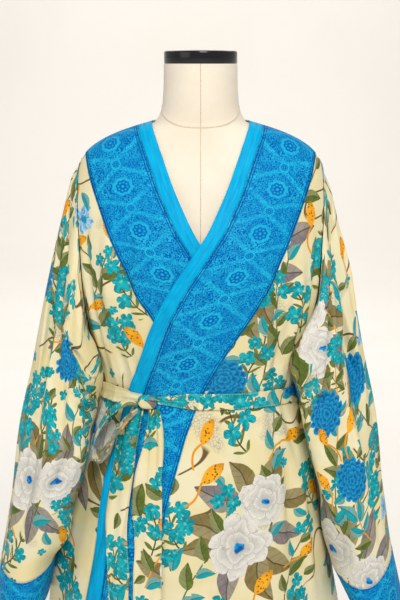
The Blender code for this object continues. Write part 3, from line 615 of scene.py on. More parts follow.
# The border's florets: spacing across and along, and radius of large and small ones; then its edge lines:
# place from the edge, outer and inner half width
MEDALLION_ACROSS = 0.144
MEDALLION_ALONG = 0.081
FLORET = 0.0185
SMALL_FLORET = 0.0095
BORDER_LINES = ((0.0024, 0.0011, 0.0006), (0.0062, 0.0009, 0.0004))
# Fine patterns: threads of the form's cloth, weave of the satin, sheen, and shift aside between noises
THREAD_TURNS = 4200.0
WEAVE_SCALE = 1500.0
SHEEN_ROUGHNESS = 0.35
SHIFT_ASIDE = 0.37
# Layers that lie under and over others of their kind
LEAF_LAYERS = ("leaf_far", "leaf_near")
BLOSSOM_LAYERS = ("blossom_far", "blossom_near")
# How motifs are scattered: tries, reach of one, and share of both reaches that is kept clear
SCATTER = {
    "bouquet": (260, BOUQUET_REACH, 1.45),
    "vine": (700, 0.054, 1.0),
    "pompom": (500, 0.041, 1.0),
    "cluster": (900, 0.028, 0.86),
    "single": (1200, 0.021, 0.84),
    "small": (900, 0.010, 0.80),
}
# Smallest and largest half size of each kind of motif
MOTIF_SIZES = {
    "bouquet_leaf": (0.032, 0.043),
    "vine_leaf": (0.014, 0.023),
    "vine_blossom": (0.0135, 0.0175),
    "pompom": (0.035, 0.043),
    "pompom_leaf": (0.020, 0.027),
    "cluster_sprig": (0.040, 0.050),
    "cluster_blossom": (0.0155, 0.0215),
    "bud": (0.035, 0.047),
    "bloom": (0.022, 0.029),
    "sprig": (0.028, 0.040),
    "leaf": (0.021, 0.030),
    "small_leaf": (0.012, 0.019),
    "small_blossom": (0.0095, 0.0130),
}
# Seeds of a motif, which choose its tones, and the width of the step between two of them
ALL_TONES = (0.0, 1.0)
EARTHY_TONES = (0.0, 0.62)
GREEN_TONES = (0.61, 0.82)
VINE_TONES = (0.61, 0.96)
COOL_TONES = (0.61, 1.0)
KIND_STEP = 0.01
# The two peonies of a bouquet: distance from its middle, and size
BOUQUET_PEONIES = ((0.034, 0.056), (-0.047, 0.045))
# Rings of petals, from the outermost in: reach, number of petals, turn
PEONY_RINGS = ((0.97, 7, 0.0), (0.70, 5, 1.1), (0.42, 4, 2.3))
POMPOM_RINGS = ((0.96, 15, 0.0), (0.77, 13, 0.6), (0.58, 11, 1.7), (0.40, 8, 0.4), (0.22, 5, 2.1))

# The plainer looks: name, dark and light colour, roughness, specular, scale and depth of the unevenness
SOLID_LOOKS = {
    # The form's seams are darker than its cover: painted shade along the seam's ledge
    "seam": ("form_seam_painted_shade", (196, 180, 152), (220, 206, 182), 0.8, 0.15, 600.0, 0.0001),
    "cap": ("black_gloss_cap", (8, 9, 14), (13, 14, 20), 0.16, 0.5, 60.0, 0.0001),
    "metal": ("black_painted_metal", (20, 20, 22), (30, 30, 32), 0.38, 0.4, 900.0, 0.0002),
    "tan_thread": ("tan_thread", (66, 96, 86), (98, 116, 84), 0.6, 0.2, 2500.0, 0.0001),
    "blue_thread": ("blue_thread", (0, 75, 140), (0, 95, 165), 0.6, 0.2, 2500.0, 0.0001),
    "cream_thread": ("cream_thread", (205, 195, 160), (232, 224, 195), 0.6, 0.2, 2500.0, 0.0001),
    "wall": ("pale_wall", (250, 246, 240), (252, 249, 244), 0.9, 0.1, 1.2, 0.0005),
}

# The slot of each kind of cloth
SLOTS = {"robe": "print", "sleeve": "print", "sash": "print", "border": "border", "cuff": "border",
         "neckband": "band"}

# The cut of each sheet: width and length before it was hung, its flat area, and what it rests on
SHEETS = {
    "robe_back": (0.79, 1.25, 0.666, "form_torso_cover"),
    "robe_front_left": (0.63, 1.25, 0.486, "form_torso_cover"),
    "robe_front_right": (0.63, 1.25, 0.479, "form_torso_cover"),
    "border_left": (0.125, 1.265, 0.125, "robe_front_left_cloth"),
    "border_right": (0.122, 1.26, 0.122, "robe_front_right_cloth"),
    "neckband_left": (0.028, 1.265, None, "robe_front_left_cloth"),
    "neckband_right": (0.028, 1.26, None, "robe_front_right_cloth"),
    "neckband_back": (0.046, 0.22, None, "robe_back_cloth"),
    "sleeve_left": (0.70, 0.66, 0.236, "robe_front_left_cloth"),
    "sleeve_right": (0.66, 0.68, 0.234, "robe_front_right_cloth"),
    "cuff_left": (0.45, 0.087, 0.0345, "sleeve_left_cloth"),
    "cuff_right": (0.435, 0.082, 0.0328, "sleeve_right_cloth"),
    "sash_waist": (0.030, 0.885, None, "robe_front_left_cloth", "robe_back_cloth"),
    "sash_loop": (0.028, 0.266, None, "sash_knot_cloth"),
    "sash_tail_left": (0.046, 0.53, None, "sash_knot_cloth"),
    "sash_tail_right": (0.042, 0.53, None, "sash_knot_cloth"),
}


def through(rows, at):
    """A smooth curve through the rows of a table, whose first column rises, read at some values."""
    table = np.array(rows, float)
    knots = table[:, 0]
    values = table[:, 1:]
    steps = np.diff(knots)[:, None]
    slopes = np.diff(values, axis=0) / steps
    tangents = np.empty_like(values)
    tangents[0] = slopes[0]
    tangents[-1] = slopes[-1]
    weight = steps[1:] / (steps[1:] + steps[:-1])
    tangents[1:-1] = weight * slopes[:-1] + (1 - weight) * slopes[1:]
    at = np.clip(np.asarray(at, float), knots[0], knots[-1])
    place = np.clip(np.searchsorted(knots, at, side="right") - 1, 0, len(knots) - 2)
    step = steps[place]
    t = ((at - knots[place])[..., None]) / step
    first = (1 + 2 * t) * (1 - t) ** 2 * values[place] + t * (1 - t) ** 2 * step * tangents[place]
    second = t**2 * (3 - 2 * t) * values[place + 1] - t**2 * (1 - t) * step * tangents[place + 1]
    return np.moveaxis(first + second, -1, 0)


def ease(value):
    """A smooth step from 0 to 1."""
    value = np.clip(value, 0.0, 1.0)
    return value * value * (3 - 2 * value)


def hump(distance, half_width):
    """A smooth hump of height 1 that ends at its half width."""
    inside = np.clip(np.abs(distance) / half_width, 0.0, 1.0)
    return np.cos(inside * math.pi / 2) ** 2


def turned(angle):
    """An angle in degrees brought between -180 and 180."""
    return (np.asarray(angle) + 180.0) % 360.0 - 180.0


def creased(table, degrees, along, degree_width):
    """How far fine creases stand out from a surface; each is a soft hump on its own leaning line."""
    push = np.zeros(np.broadcast(degrees, along).shape)
    for middle, place, lean, half_width, half_length, full in table:
        x = turned(degrees - middle) * degree_width
        y = along - place
        turn = math.radians(lean)
        lengthwise = (x * math.sin(turn) + y * math.cos(turn)) / half_length
        sideways = (x * math.cos(turn) - y * math.sin(turn)) / half_width
        push = push + full * hump(lengthwise, 1.0) * hump(sideways, 1.0)
    return push


def fold_depth(angle, height):
    """How far the robe's folds stand out at an angle round from the front."""
    depth = np.zeros(np.broadcast(angle, height).shape)
    for middle, half_width, full, fade in SKIRT_FOLDS:
        grown = ease((fade - height) / (fade - HEM_HEIGHT)) ** FOLD_GROWTH
        depth = depth + full * grown * hump(turned(angle - middle), half_width)
    for middle, half_width, full, low, deep, high in BODICE_FOLDS:
        rise = ease((height - low) / (deep - low)) * ease((high - height) / (high - deep))
        depth = depth + full * rise * hump(turned(angle - middle), half_width)
    return depth + creased(BODY_CREASES, angle, height, BODY_DEGREE)


def unit(vectors):
    """Vectors brought to a length of 1."""
    return vectors / np.maximum(np.linalg.norm(vectors, axis=-1, keepdims=True), TINY)


def run_along(points, axis=0):
    """How far the points of a line or grid lie along it, from 0 at its start."""
    steps = np.linalg.norm(np.diff(points, axis=axis), axis=-1)
    before = [(int(i == axis), 0) for i in range(steps.ndim)]
    return np.pad(np.cumsum(steps, axis=axis), before)


def level_ring(turn, half_width, front, back, height):
    """Points of a level section of the robe or the form, at turns from the front."""
    depth = np.where(np.cos(turn) > 0, front, back)
    return np.stack(np.broadcast_arrays(half_width * np.sin(turn), -depth * np.cos(turn), height), -1)


def half_width_at(height):
    """Half the robe's width at a height."""
    return through(ROBE_RINGS, height)[0]


def sash_shift(angle, height):
    """How far the robe is lifted near the waist, where it follows the tilted sash."""
    turn = np.radians(angle)
    rise = SASH_TILT * np.sin(turn) + SASH_FRONT_RISE * np.cos(turn)
    return rise * hump(height - WAIST_HEIGHT, SASH_REACH)


def sway_at(height):
    """How far the skirt hangs off to one side."""
    low, high = SWAY_HEIGHTS
    return SKIRT_SWAY * ease((high - height) / (high - low))


def robe_point(angle, height):
    """A point of the robe's inner face, at an angle round from the front.

    The height is the one at a level waist, before the sash tilts it.
    """
    angle, height = np.broadcast_arrays(np.asarray(angle, float), np.asarray(height, float))
    half_width, front, back = through(ROBE_RINGS, height)
    turn = np.radians(angle)
    depth = np.where(np.cos(turn) > 0, front, back)
    across = np.sin(turn)
    along = -np.cos(turn)
    outwards = unit(np.stack([across / half_width, along / depth], -1))
    push = fold_depth(angle, height)
    x = half_width * across + push * outwards[..., 0] + sway_at(height)
    y = depth * along + push * outwards[..., 1]
    return np.stack([x, y, height + sash_shift(angle, height)], -1)


def angle_of(across, height, side=1):
    """The angle round from the front, or from the back, of a point at a distance from the middle."""
    share = np.clip(across / half_width_at(height), -1.0, 1.0)
    angle = np.degrees(np.arcsin(share))
    return angle if side > 0 else 180.0 - angle


def shoulder_height(across):
    """Height of the shoulder line at a distance from the middle."""
    heights = np.linspace(SHOULDER_END_HEIGHT, NECK_HEIGHT, 80)
    return np.interp(-across, -half_width_at(heights), heights)


def side_rows():
    """Heights of the points along a side: up the side seam, then up the armhole to the shoulder."""
    coarse = np.concatenate([SIDE_SEAM_HEIGHTS, SHOULDER_END_HEIGHT - np.array(ARMHOLE_DEPTHS)])
    steps = (len(coarse) - 1) * FINER
    return np.interp(np.arange(steps + 1) / FINER, np.arange(len(coarse)), coarse)


def fanned(side_heights, top):
    """The same rows on a line that ends higher than the shoulder's end: level up to the underarm."""
    stretch = (top - UNDERARM_HEIGHT) / (SHOULDER_END_HEIGHT - UNDERARM_HEIGHT)
    above = np.maximum(side_heights - UNDERARM_HEIGHT, 0.0)
    return side_heights + above * (stretch - 1)


def armhole_angle(height):
    """Angle round from the front where a panel ends: at the side, or short of it in the armhole."""
    share = (height - UNDERARM_HEIGHT) / (SHOULDER_END_HEIGHT - UNDERARM_HEIGHT)
    inside = np.clip(np.sin(math.pi * np.clip(share, 0.0, 1.0)), 0.0, 1.0)
    return 90.0 - ARMHOLE_TURN * inside**ARMHOLE_ROUNDING


def grid_normals(points):
    """Unit normals of a grid of points, which point outwards."""
    return unit(np.cross(np.gradient(points, axis=1), np.gradient(points, axis=0)))


def lifted(points, lift):
    """A grid moved out along its normals."""
    return points + grid_normals(points) * np.asarray(lift)[..., None]


def inset(points, sides, gap=SEAM_GAP):
    """Draw the named sides of a grid in by half a seam gap."""
    drawn = points.copy()
    ends = {"left": (np.s_[:, 0], np.s_[:, 1]), "right": (np.s_[:, -1], np.s_[:, -2]),
            "bottom": (np.s_[0], np.s_[1]), "top": (np.s_[-1], np.s_[-2])}
    for side in sides:
        edge, inner = ends[side]
        drawn[edge] = drawn[edge] + gap / 2 * unit(points[inner] - points[edge])
    return drawn


def front_places(side):
    """Angles and heights of a front's points, from its free edge to its side, row by row up."""
    side_heights = side_rows()
    edge_heights = fanned(side_heights, NECK_HEIGHT)
    border_heights = fanned(side_heights, BORDER_EDGE[-1][0])
    edge = through(FREE_EDGE, edge_heights)[0]
    border = through(BORDER_EDGE, border_heights)[0]
    to_side = np.linspace(0, 1, PRINT_COLUMNS + 1)
    angles = []
    heights = []
    for i, side_height in enumerate(side_heights):
        total = math.hypot(border[i] - edge[i], border_heights[i] - edge_heights[i])
        band = BAND_WIDTH / total
        steps = np.concatenate([np.linspace(0, band, BAND_COLUMNS + 1)[:-1],
                                np.linspace(band, 1, BORDER_COLUMNS + 1)[:-1]])
        ridge = shoulder_height(edge[-1] + steps * (border[-1] - edge[-1]))
        rise = ridge - (edge_heights[-1] + steps * (border_heights[-1] - edge_heights[-1]))
        share = max(side_height - UNDERARM_HEIGHT, 0.0) / (SHOULDER_END_HEIGHT - UNDERARM_HEIGHT)
        height = edge_heights[i] + steps * (border_heights[i] - edge_heights[i]) + share * rise
        angle = angle_of(edge[i] + steps * (border[i] - edge[i]), height)
        first = float(angle_of(border[i], border_heights[i]))
        if i == len(side_heights) - 1:
            first = 90.0
            angle[:] = 90.0
        outer = border_heights[i] + to_side * (side_height - border_heights[i])
        angles.append(np.concatenate([angle, first + to_side * (armhole_angle(side_height) - first)]))
        heights.append(np.concatenate([height, outer]))
    return side * np.array(angles), np.array(heights)


def sunk_under(points):
    """The right front's points, drawn in where the left front covers them."""
    normals = grid_normals(points[:, ::-1])[:, ::-1]
    cover = through(FREE_EDGE, points[..., 2])[0]
    across = points[..., 0] - sway_at(points[..., 2])
    crossing = ease((across - cover + UNDERLAP_MARGIN + UNDERLAP_FADE) / UNDERLAP_FADE)
    fall = np.clip((WAIST_HEIGHT - points[..., 2]) / (WAIST_HEIGHT - HEM_HEIGHT), 0.0, 1.0)
    depth = UNDERLAP_DEPTH + (UNDERLAP_HEM_DEPTH - UNDERLAP_DEPTH) * fall
    return points - normals * (depth * crossing)[..., None]


def back_places():
    """Angles, from 90 to 270, and heights of the back's points, row by row up."""
    side_heights = side_rows()
    side_width = half_width_at(side_heights)
    shoulder_half = half_width_at(SHOULDER_END_HEIGHT)
    neck_half = half_width_at(NECK_HEIGHT)
    neck_turn = math.asin(neck_half / shoulder_half)
    round_neck = np.linspace(math.pi / 2, 0, HALF_NECK_COLUMNS + 1)[1:]
    turn = np.concatenate([np.linspace(math.pi / 2, neck_turn, SHOULDER_COLUMNS + 1),
                           np.arcsin(neck_half * np.sin(round_neck) / shoulder_half)])
    shoulder = shoulder_height(shoulder_half * np.sin(turn[: SHOULDER_COLUMNS + 1]))
    tops = np.concatenate([shoulder, np.full(HALF_NECK_COLUMNS, NECK_HEIGHT)])
    heights = np.array([fanned(side_heights, top) for top in tops]).T
    angles = []
    for i, height in enumerate(heights):
        shrink = armhole_angle(side_heights[i]) / 90.0
        angle = angle_of(side_width[i] * np.sin(turn * shrink), height, side=-1)
        if i == len(heights) - 1:
            angle[: SHOULDER_COLUMNS + 1] = 90.0
        angle[0] = 180.0 - 90.0 * shrink
        angles.append(angle)
    angles = np.array(angles)
    return (np.concatenate([angles, 360.0 - angles[:, -2::-1]], axis=1),
            np.concatenate([heights, heights[:, -2::-1]], axis=1))


def armhole_ring(side):
    """Where a sleeve starts, just past the panels: down the armhole's front and up its back."""
    heights = side_rows()[-(len(ARMHOLE_DEPTHS) * FINER + 1):]
    turn = armhole_angle(heights)
    front = robe_point(side * turn, heights)
    back = robe_point(side * (180.0 - turn), heights)
    ring = np.concatenate([front[::-1], back[1:]])
    ring[:, 0] += side * SLEEVE_START
    return ring


def cuff_ring(side, sizes, turn):
    """An even loop round the end of a sleeve, seen from the shoulder's side round by the front."""
    middle, half_width, depth_middle, half_depth, height, outer_rise, side_rise = sizes
    x = side * (middle + half_width * np.cos(turn))
    y = depth_middle - half_depth * np.sin(turn)
    z = height + outer_rise * np.cos(turn) + side_rise * np.cos(2 * turn)
    return np.stack([x, y, z], -1)


def sleeve_turn():
    """Turns round a sleeve, from its outer side by the front."""
    return np.linspace(0, 2 * math.pi, 2 * len(ARMHOLE_DEPTHS) * FINER + 1)


def sleeve_grid(name, side):
    """Points of a sleeve, whose rows run from the cuff's seam up to the armhole."""
    top = armhole_ring(side)
    turn = sleeve_turn()
    end = cuff_ring(side, CUFF_SEAMS[name], turn)
    degrees = np.degrees(turn)
    places = np.linspace(1, 0, SLEEVE_ROWS + 1)
    rows = []
    for v in places:
        ring = top + (end - top) * v
        for middle, half_width, place, half_length, start, outwards, backwards in SLEEVE_DRAPES[name]:
            near_end = ease(v / start) * ease((1 - v) / SLEEVE_END_FADE)
            round_it = hump(turned(degrees - middle), half_width)
            amount = near_end * round_it * hump(v - place, half_length)
            ring = ring + amount[:, None] * np.array([side * outwards, backwards, 0.0])
        rows.append(ring)
    grid = np.array(rows)
    down = places[:, None] * SLEEVE_LENGTH
    push = creased(SLEEVE_CREASES[name], degrees[None, :], down, SLEEVE_DEGREE)
    push *= ease(places[:, None] / CREASE_START)
    return grid - side * grid_normals(grid) * push[..., None]


def cuff_grid(name, side, seam):
    """Points of a cuff, from its lower edge up to the sleeve's last ring."""
    edge = cuff_ring(side, CUFF_EDGES[name], sleeve_turn())
    steps = np.linspace(0, 1, CUFF_ROWS + 1)
    return np.array([edge + (seam - edge) * step for step in steps])


def front_normal(angle, height):
    """The way that the robe's surface faces at an angle round from the front."""
    aside = robe_point(angle + TURN_STEP, height) - robe_point(angle - TURN_STEP, height)
    above = robe_point(angle, height + HEIGHT_STEP) - robe_point(angle, height - HEIGHT_STEP)
    return unit(np.cross(aside, above))


def front_point(across, height, lift):
    """A point in front of the robe at a distance from the middle, moved out by lift."""
    angle = angle_of(np.asarray(across, float), np.asarray(height, float))
    return robe_point(angle, height) + front_normal(angle, height) * np.asarray(lift)[..., None]


def underarm_patch(side):
    """The robe's surface carried on across the foot of an armhole."""
    turn = np.linspace(-UNDERARM_TURN, UNDERARM_TURN, UNDERARM_STEPS[0])
    height = UNDERARM_HEIGHT + np.linspace(*UNDERARM_PATCH, UNDERARM_STEPS[1])
    return robe_point(side * 90.0 + turn[None, :], height[:, None])


def quad_indices(rows, columns, closed=False):
    """The corners of the quads of a grid, whose last column may join on to its first."""
    row, column = np.mgrid[0:rows - 1, 0:columns if closed else columns - 1]
    beside = (column + 1) % columns
    low, high = row * columns, (row + 1) * columns
    return np.stack([low + column, low + beside, high + beside, high + column], -1).reshape(-1, 4)


def outer_faces(sheets):
    """A search tree of the outer faces of sheets of cloth."""
    points = []
    quads = []
    for sheet in sheets:
        quads += (len(points) + quad_indices(*sheet.shape[:2])).tolist()
        points += lifted(sheet, THIN_WALL).reshape(-1, 3).tolist()
    return BVHTree.FromPolygons(points, quads)


def cleared(grid, obstacles, shares):
    """A grid moved out where it would cut into the cloth that it hangs against."""
    for tree, fade in obstacles * CLEAR_PASSES:
        clear = grid.copy()
        for i, share in enumerate(shares):
            for j, point in enumerate(grid[i]):
                place, facing, _, distance = tree.find_nearest(Vector(point), CLEAR_REACH)
                if place is None:
                    continue
                facing = np.array(facing)
                height = float((point - np.array(place)) @ facing)
                aside = math.sqrt(max(distance**2 - height**2, 0.0))
                if height < CLEAR_GAP:
                    clear[i, j] += (CLEAR_GAP - height) * (1 - ease(aside / fade)) * share * facing
        grid = clear
    return grid


def flat_tables():
    """Metres round the robe from its front, and up it from its hem, for a net of angles and heights."""
    heights = np.linspace(HEM_HEIGHT, NECK_HEIGHT, FLAT_ROWS)[:, None]
    turn = np.radians(np.linspace(-180.0, 180.0, FLAT_COLUMNS))[None, :]
    net = level_ring(turn, *through(ROBE_RINGS, heights), heights)
    around = run_along(net, axis=1)
    around -= around[:, FLAT_COLUMNS // 2:FLAT_COLUMNS // 2 + 1]
    return around, run_along(net)


def read_net(net, angle, height):
    """A value of a net of angles and heights, read between its points."""
    column = (angle + 180.0) / 360.0 * (FLAT_COLUMNS - 1)
    row = np.clip((height - HEM_HEIGHT) / (NECK_HEIGHT - HEM_HEIGHT), 0.0, 1.0) * (FLAT_ROWS - 1)
    left = np.clip(np.floor(column).astype(int), 0, FLAT_COLUMNS - 2)
    low = np.clip(np.floor(row).astype(int), 0, FLAT_ROWS - 2)
    s = column - left
    t = row - low
    below = net[low, left] * (1 - s) + net[low, left + 1] * s
    above = net[low + 1, left] * (1 - s) + net[low + 1, left + 1] * s
    return below * (1 - t) + above * t


def robe_flat(angle, height):
    """Where a point of a front lies on the flat cloth, in metres from the middle of the front."""
    around, upwards = flat_tables()
    return np.stack([read_net(around, angle, height), read_net(upwards, angle, height)], -1)


def back_flat(angle, height):
    """The same for the back, whose angles run from 90 to 270 and whose cloth hangs from its own middle."""
    around, upwards = flat_tables()
    near = np.where(angle > 180.0, angle - 360.0, angle)
    half = read_net(around, np.full_like(angle, 180.0), height)
    from_middle = read_net(around, near, height) - np.where(angle > 180.0, -half, half)
    return np.stack([BACK_MIDDLE + from_middle, read_net(upwards, near, height)], -1)


def corner_places(flat):
    """The flat places of each quad's four corners, for a grid of flat places."""
    corners = np.stack([flat[:-1, :-1], flat[:-1, 1:], flat[1:, 1:], flat[1:, :-1]], axis=2)
    return corners.reshape(-1, 4, flat.shape[-1])


def linked(name, data):
    """A new object in the scene."""
    thing = bpy.data.objects.new(name, data)
    bpy.context.scene.collection.objects.link(thing)
    return thing


def add_mesh(name, points, edges, faces, material):
    """A smooth mesh of one material."""
    mesh = bpy.data.meshes.new(name)
    mesh.from_pydata(points, edges, faces)
    mesh.materials.append(material)
    mesh.shade_smooth()
    return linked(name, mesh)


def grid_object(name, points, corners, material, wrap=False):
    """A mesh of quads through a grid of points, with its places on the flat cloth."""
    if wrap:
        points = points[:, :-1]
    quads = quad_indices(*points.shape[:2], wrap)
    thing = add_mesh(name, points.reshape(-1, 3).tolist(), [], quads.tolist(), material)
    store(thing.data, "flat", corners)
    return thing


def store(mesh, name, values):
    """Keep two or three numbers for each corner of a mesh's faces."""
    values = values.reshape(len(mesh.loops), -1)
    if values.shape[1] == 2:
        values = np.pad(values, ((0, 0), (0, 1)))
    layer = mesh.attributes.new(name, "FLOAT_VECTOR", "CORNER")
    layer.data.foreach_set("vector", values.astype(np.float32).ravel())


def add_cloth(node, points, corners, material, wrap=False, offset=1.0, reverse=None):
    """A sheet of cloth through a grid of points, as thin as cloth is, which stands for a node."""
    thing = grid_object(node + "_cloth", points, corners, material, wrap)
    shell = thing.modifiers.new("cloth", "SOLIDIFY")
    shell.thickness = THIN_WALL
    shell.offset = offset
    shell.use_rim = True
    if reverse:
        thing.data.materials.append(reverse)
        shell.material_offset = 1
    return thing


def declare(thing, node):
    """The piece stands for a solid of the frame, which it hides, and hangs from the root."""
    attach(thing, "root")
    if node:
        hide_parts(node)
    return thing


def strip_flat(points, start):
    """Flat places of a strip whose columns run along it: metres along and across."""
    across = np.linalg.norm(np.diff(points, axis=0), axis=-1).mean(axis=1)
    u = start[0] + run_along(points.mean(axis=0))
    v = start[1] + np.concatenate([[0.0], np.cumsum(across)])
    return np.stack(np.broadcast_arrays(u[None, :], v[:, None]), -1)


def waist_grid():
    """Points of the sash's stretch round the waist, from one side of the knot to the other."""
    knot_angle = float(angle_of(KNOT_PLACE, WAIST_HEIGHT))
    reach = math.degrees((KNOT_HALF_WIDTH - SASH_TUCK) / half_width_at(WAIST_HEIGHT)
                         / math.cos(math.radians(knot_angle)))
    angles = np.linspace(knot_angle + reach, knot_angle + 360.0 - reach, SASH_COLUMNS + 1)
    from_knot = np.minimum(angles - knot_angle, knot_angle + 360.0 - angles)
    open_out = ease((from_knot - reach) / SASH_PINCH_TURN)
    widths = SASH_PINCH + (SASH_WIDTH - SASH_PINCH) * open_out
    steps = np.linspace(-0.5, 0.5, SASH_ROWS + 1)[:, None]
    waist = robe_point(angles[None, :], WAIST_HEIGHT + steps * widths[None, :])
    drift = np.radians(angles)[None, :]
    gathered = SASH_FOLD + (SASH_GATHER - SASH_FOLD) * (1 - open_out)[None, :]
    folds = 0.0
    for share, waves, sway, rate, start in SASH_WAVES:
        turns = waves * steps + sway * np.sin(rate * drift + start)
        folds = folds + share * (0.5 + 0.5 * np.cos(2 * math.pi * turns))
    return lifted(waist, SASH_LIFT + gathered * folds)


def add_robe(looks):
    """The robe's panels, borders, neckbands, sleeves and cuffs, and the rows of stitches on them."""
    last = BAND_COLUMNS + BORDER_COLUMNS
    cloths = {}
    panels = []
    rows = {"tan": [], "blue": [], "cream": []}

    def add_hem(panel, columns=slice(None)):
        hem = lifted(panel, THIN_WALL + STITCH_RISE / 2)
        rows["cream"].append((hem[HEM_DEPTH_ROWS, columns], grid_normals(panel)[HEM_DEPTH_ROWS, columns]))

    for name, side in SIDES:
        angle, height = front_places(side)
        grid = robe_point(angle, height)
        if side < 0:
            grid = sunk_under(grid)
        flat = robe_flat(angle, height)
        along = run_along(grid[:, BAND_COLUMNS])
        across = run_along(grid, axis=1)
        from_band = across - across[:, BAND_COLUMNS:BAND_COLUMNS + 1]
        width = from_band[:, last:last + 1]
        trim = np.stack([from_band - width / 2, along[:, None] + 0.0 * across,
                         np.minimum(from_band, width - from_band)], -1)
        count = grid.shape[1]
        band, border, rest = slice(0, BAND_COLUMNS + 1), slice(BAND_COLUMNS, last + 1), slice(last, None)
        inner, outer = "left", "right"
        if side < 0:
            grid, flat, trim = grid[:, ::-1], flat[:, ::-1], trim[:, ::-1]
            band = slice(count - 1 - BAND_COLUMNS, count)
            border = slice(count - 1 - last, count - BAND_COLUMNS)
            rest = slice(0, count - last)
            inner, outer = outer, inner
        panel = inset(grid, (outer, "top"))
        panels.append(panel)
        over = lifted(panel, TRIM_LIFT)
        for kind, points, places, look in (
                ("robe_front_", panel, flat, "print"),
                ("border_", inset(over[:, border], (inner,)), trim[:, border], "border"),
                ("neckband_", inset(over[:, band], (outer,)), trim[:, band], "band")):
            cloths[kind + name] = add_cloth(kind + name, points, corner_places(places), looks[look])
        facing = grid_normals(over)[:, band]
        top = over[:, band] + facing * (THIN_WALL + STITCH_RISE / 2)
        middle = (top.shape[1] - 1) // 2
        rows["tan"].append(((top[:, middle] + top[:, middle + 1]) / 2, facing[:, middle]))
        rows["blue"].append(edge_rows(over[:, border].swapaxes(0, 1)[:, ::-1])[-1 if side > 0 else 0])
        add_hem(panel, rest)

    angle, height = back_places()
    back = inset(robe_point(angle, height), ("left", "right"))
    panels.append(back)
    add_hem(back)
    shoulder = SHOULDER_COLUMNS + 1
    back[-1, :shoulder, 1] += SEAM_GAP / 2
    back[-1, -shoulder:, 1] += SEAM_GAP / 2
    cloths["robe_back"] = add_cloth(
        "robe_back", back, corner_places(back_flat(angle, height)), looks["print"])
    first = SHOULDER_COLUMNS - BACK_BAND_COLUMNS
    band = lifted(back, TRIM_LIFT)[-(NECKBAND_ROWS * FINER + 1):, first:-first]
    cloths["neckband_back"] = add_cloth(
        "neckband_back", band, corner_places(strip_flat(band, (0.0, 0.0))), looks["band"])

    patches = [underarm_patch(side) for _, side in SIDES]
    obstacles = ((outer_faces(patches), UNDERARM_FADE), (outer_faces([waist_grid()]), CLEAR_SASH_FADE),
                 (outer_faces(panels), CLEAR_FADE))
    shares = ease(np.linspace(1, 0, SLEEVE_ROWS + 1) * SLEEVE_LENGTH / CLEAR_START)
    for name, side in SIDES:
        sleeve = cleared(sleeve_grid(name, side), obstacles, shares)
        cuff = cleared(cuff_grid(name, side, sleeve[0]), obstacles, np.ones(CUFF_ROWS + 1))
        outwards = -side * grid_normals(cuff)
        for row in (CUFF_STITCH_ROW, -2):
            rows["blue"].append(((cuff + outwards * STITCH_RISE / 2)[row], outwards[row]))
        for kind, grid, end, look, start in (("sleeve_", sleeve, "bottom", "print", 0.0),
                                             ("cuff_", cuff, "top", "border", CUFF_BAND)):
            cloths[kind + name] = add_tube(kind + name, inset(grid, (end,), BENT_SEAM_GAP), side,
                                           looks[look], start)
    return cloths, rows


def add_tube(node, grid, side, material, start):
    """A sleeve or a cuff, with flat places whose seam lies under the arm."""
    around = run_along(grid, axis=1)
    upwards = run_along(grid)
    v = start + upwards
    flat = np.stack([around, v, np.minimum(v, upwards[-1:] - upwards + start)], -1)
    corners = corner_places(flat).reshape(grid.shape[0] - 1, grid.shape[1] - 1, 4, 3)
    second = slice((grid.shape[1] - 1) // 2, None)
    whole = around[:, -1]
    ring_corners = np.stack([whole[:-1], whole[:-1], whole[1:], whole[1:]], -1)
    corners[:, second, :, 0] -= ring_corners[:, None, :]
    if side > 0:
        grid = grid[:, ::-1]
        corners = corners[:, ::-1][:, :, [1, 0, 3, 2]]
    return add_cloth(node, grid, corners.reshape(-1, 4, 3), material, wrap=True, offset=-1.0)


def add_stitches(name, paths, material):
    """Rows of short stitches along paths, each given by its points and the ways the cloth faces there."""
    points = []
    for path, facing in paths:
        run = run_along(path)
        places = np.arange(STITCH_PITCH, run[-1] - STITCH_PITCH / 2, STITCH_PITCH)

        def read(values, where):
            return np.stack([np.interp(where, run, values[:, k]) for k in range(3)], -1)

        middle = read(path, places)
        along = unit(read(path, places + STITCH_HALF) - read(path, places - STITCH_HALF))
        rise = read(facing, places)
        aside = unit(np.cross(along, rise))
        arms = (along * STITCH_HALF, -along * STITCH_HALF, aside * STITCH_SIDE, rise * STITCH_RISE,
                -aside * STITCH_SIDE, -rise * STITCH_RISE)
        points.append(np.stack([middle + arm for arm in arms], axis=1))
    points = np.concatenate(points)
    sides = np.array([(tip, a, b) for tip, turn in ((0, 1), (1, -1))
                      for a, b in [(2 + k, 2 + (k + turn) % 4) for k in range(4)]])
    faces = (np.arange(len(points))[:, None, None] * 6 + sides[None]).reshape(-1, 3)
    return add_mesh(name, points.reshape(-1, 3).tolist(), [], faces.tolist(), material)


def edge_rows(grid):
    """Rows of stitches just inside the two long edges of a strip, whose columns run along it."""
    facing = grid_normals(grid)
    top = grid + facing * (THIN_WALL + STITCH_RISE / 2)
    return [(top[edge] + EDGE_ROW * unit(top[inner] - top[edge]), facing[edge])
            for edge, inner in ((0, 1), (-1, -2))]


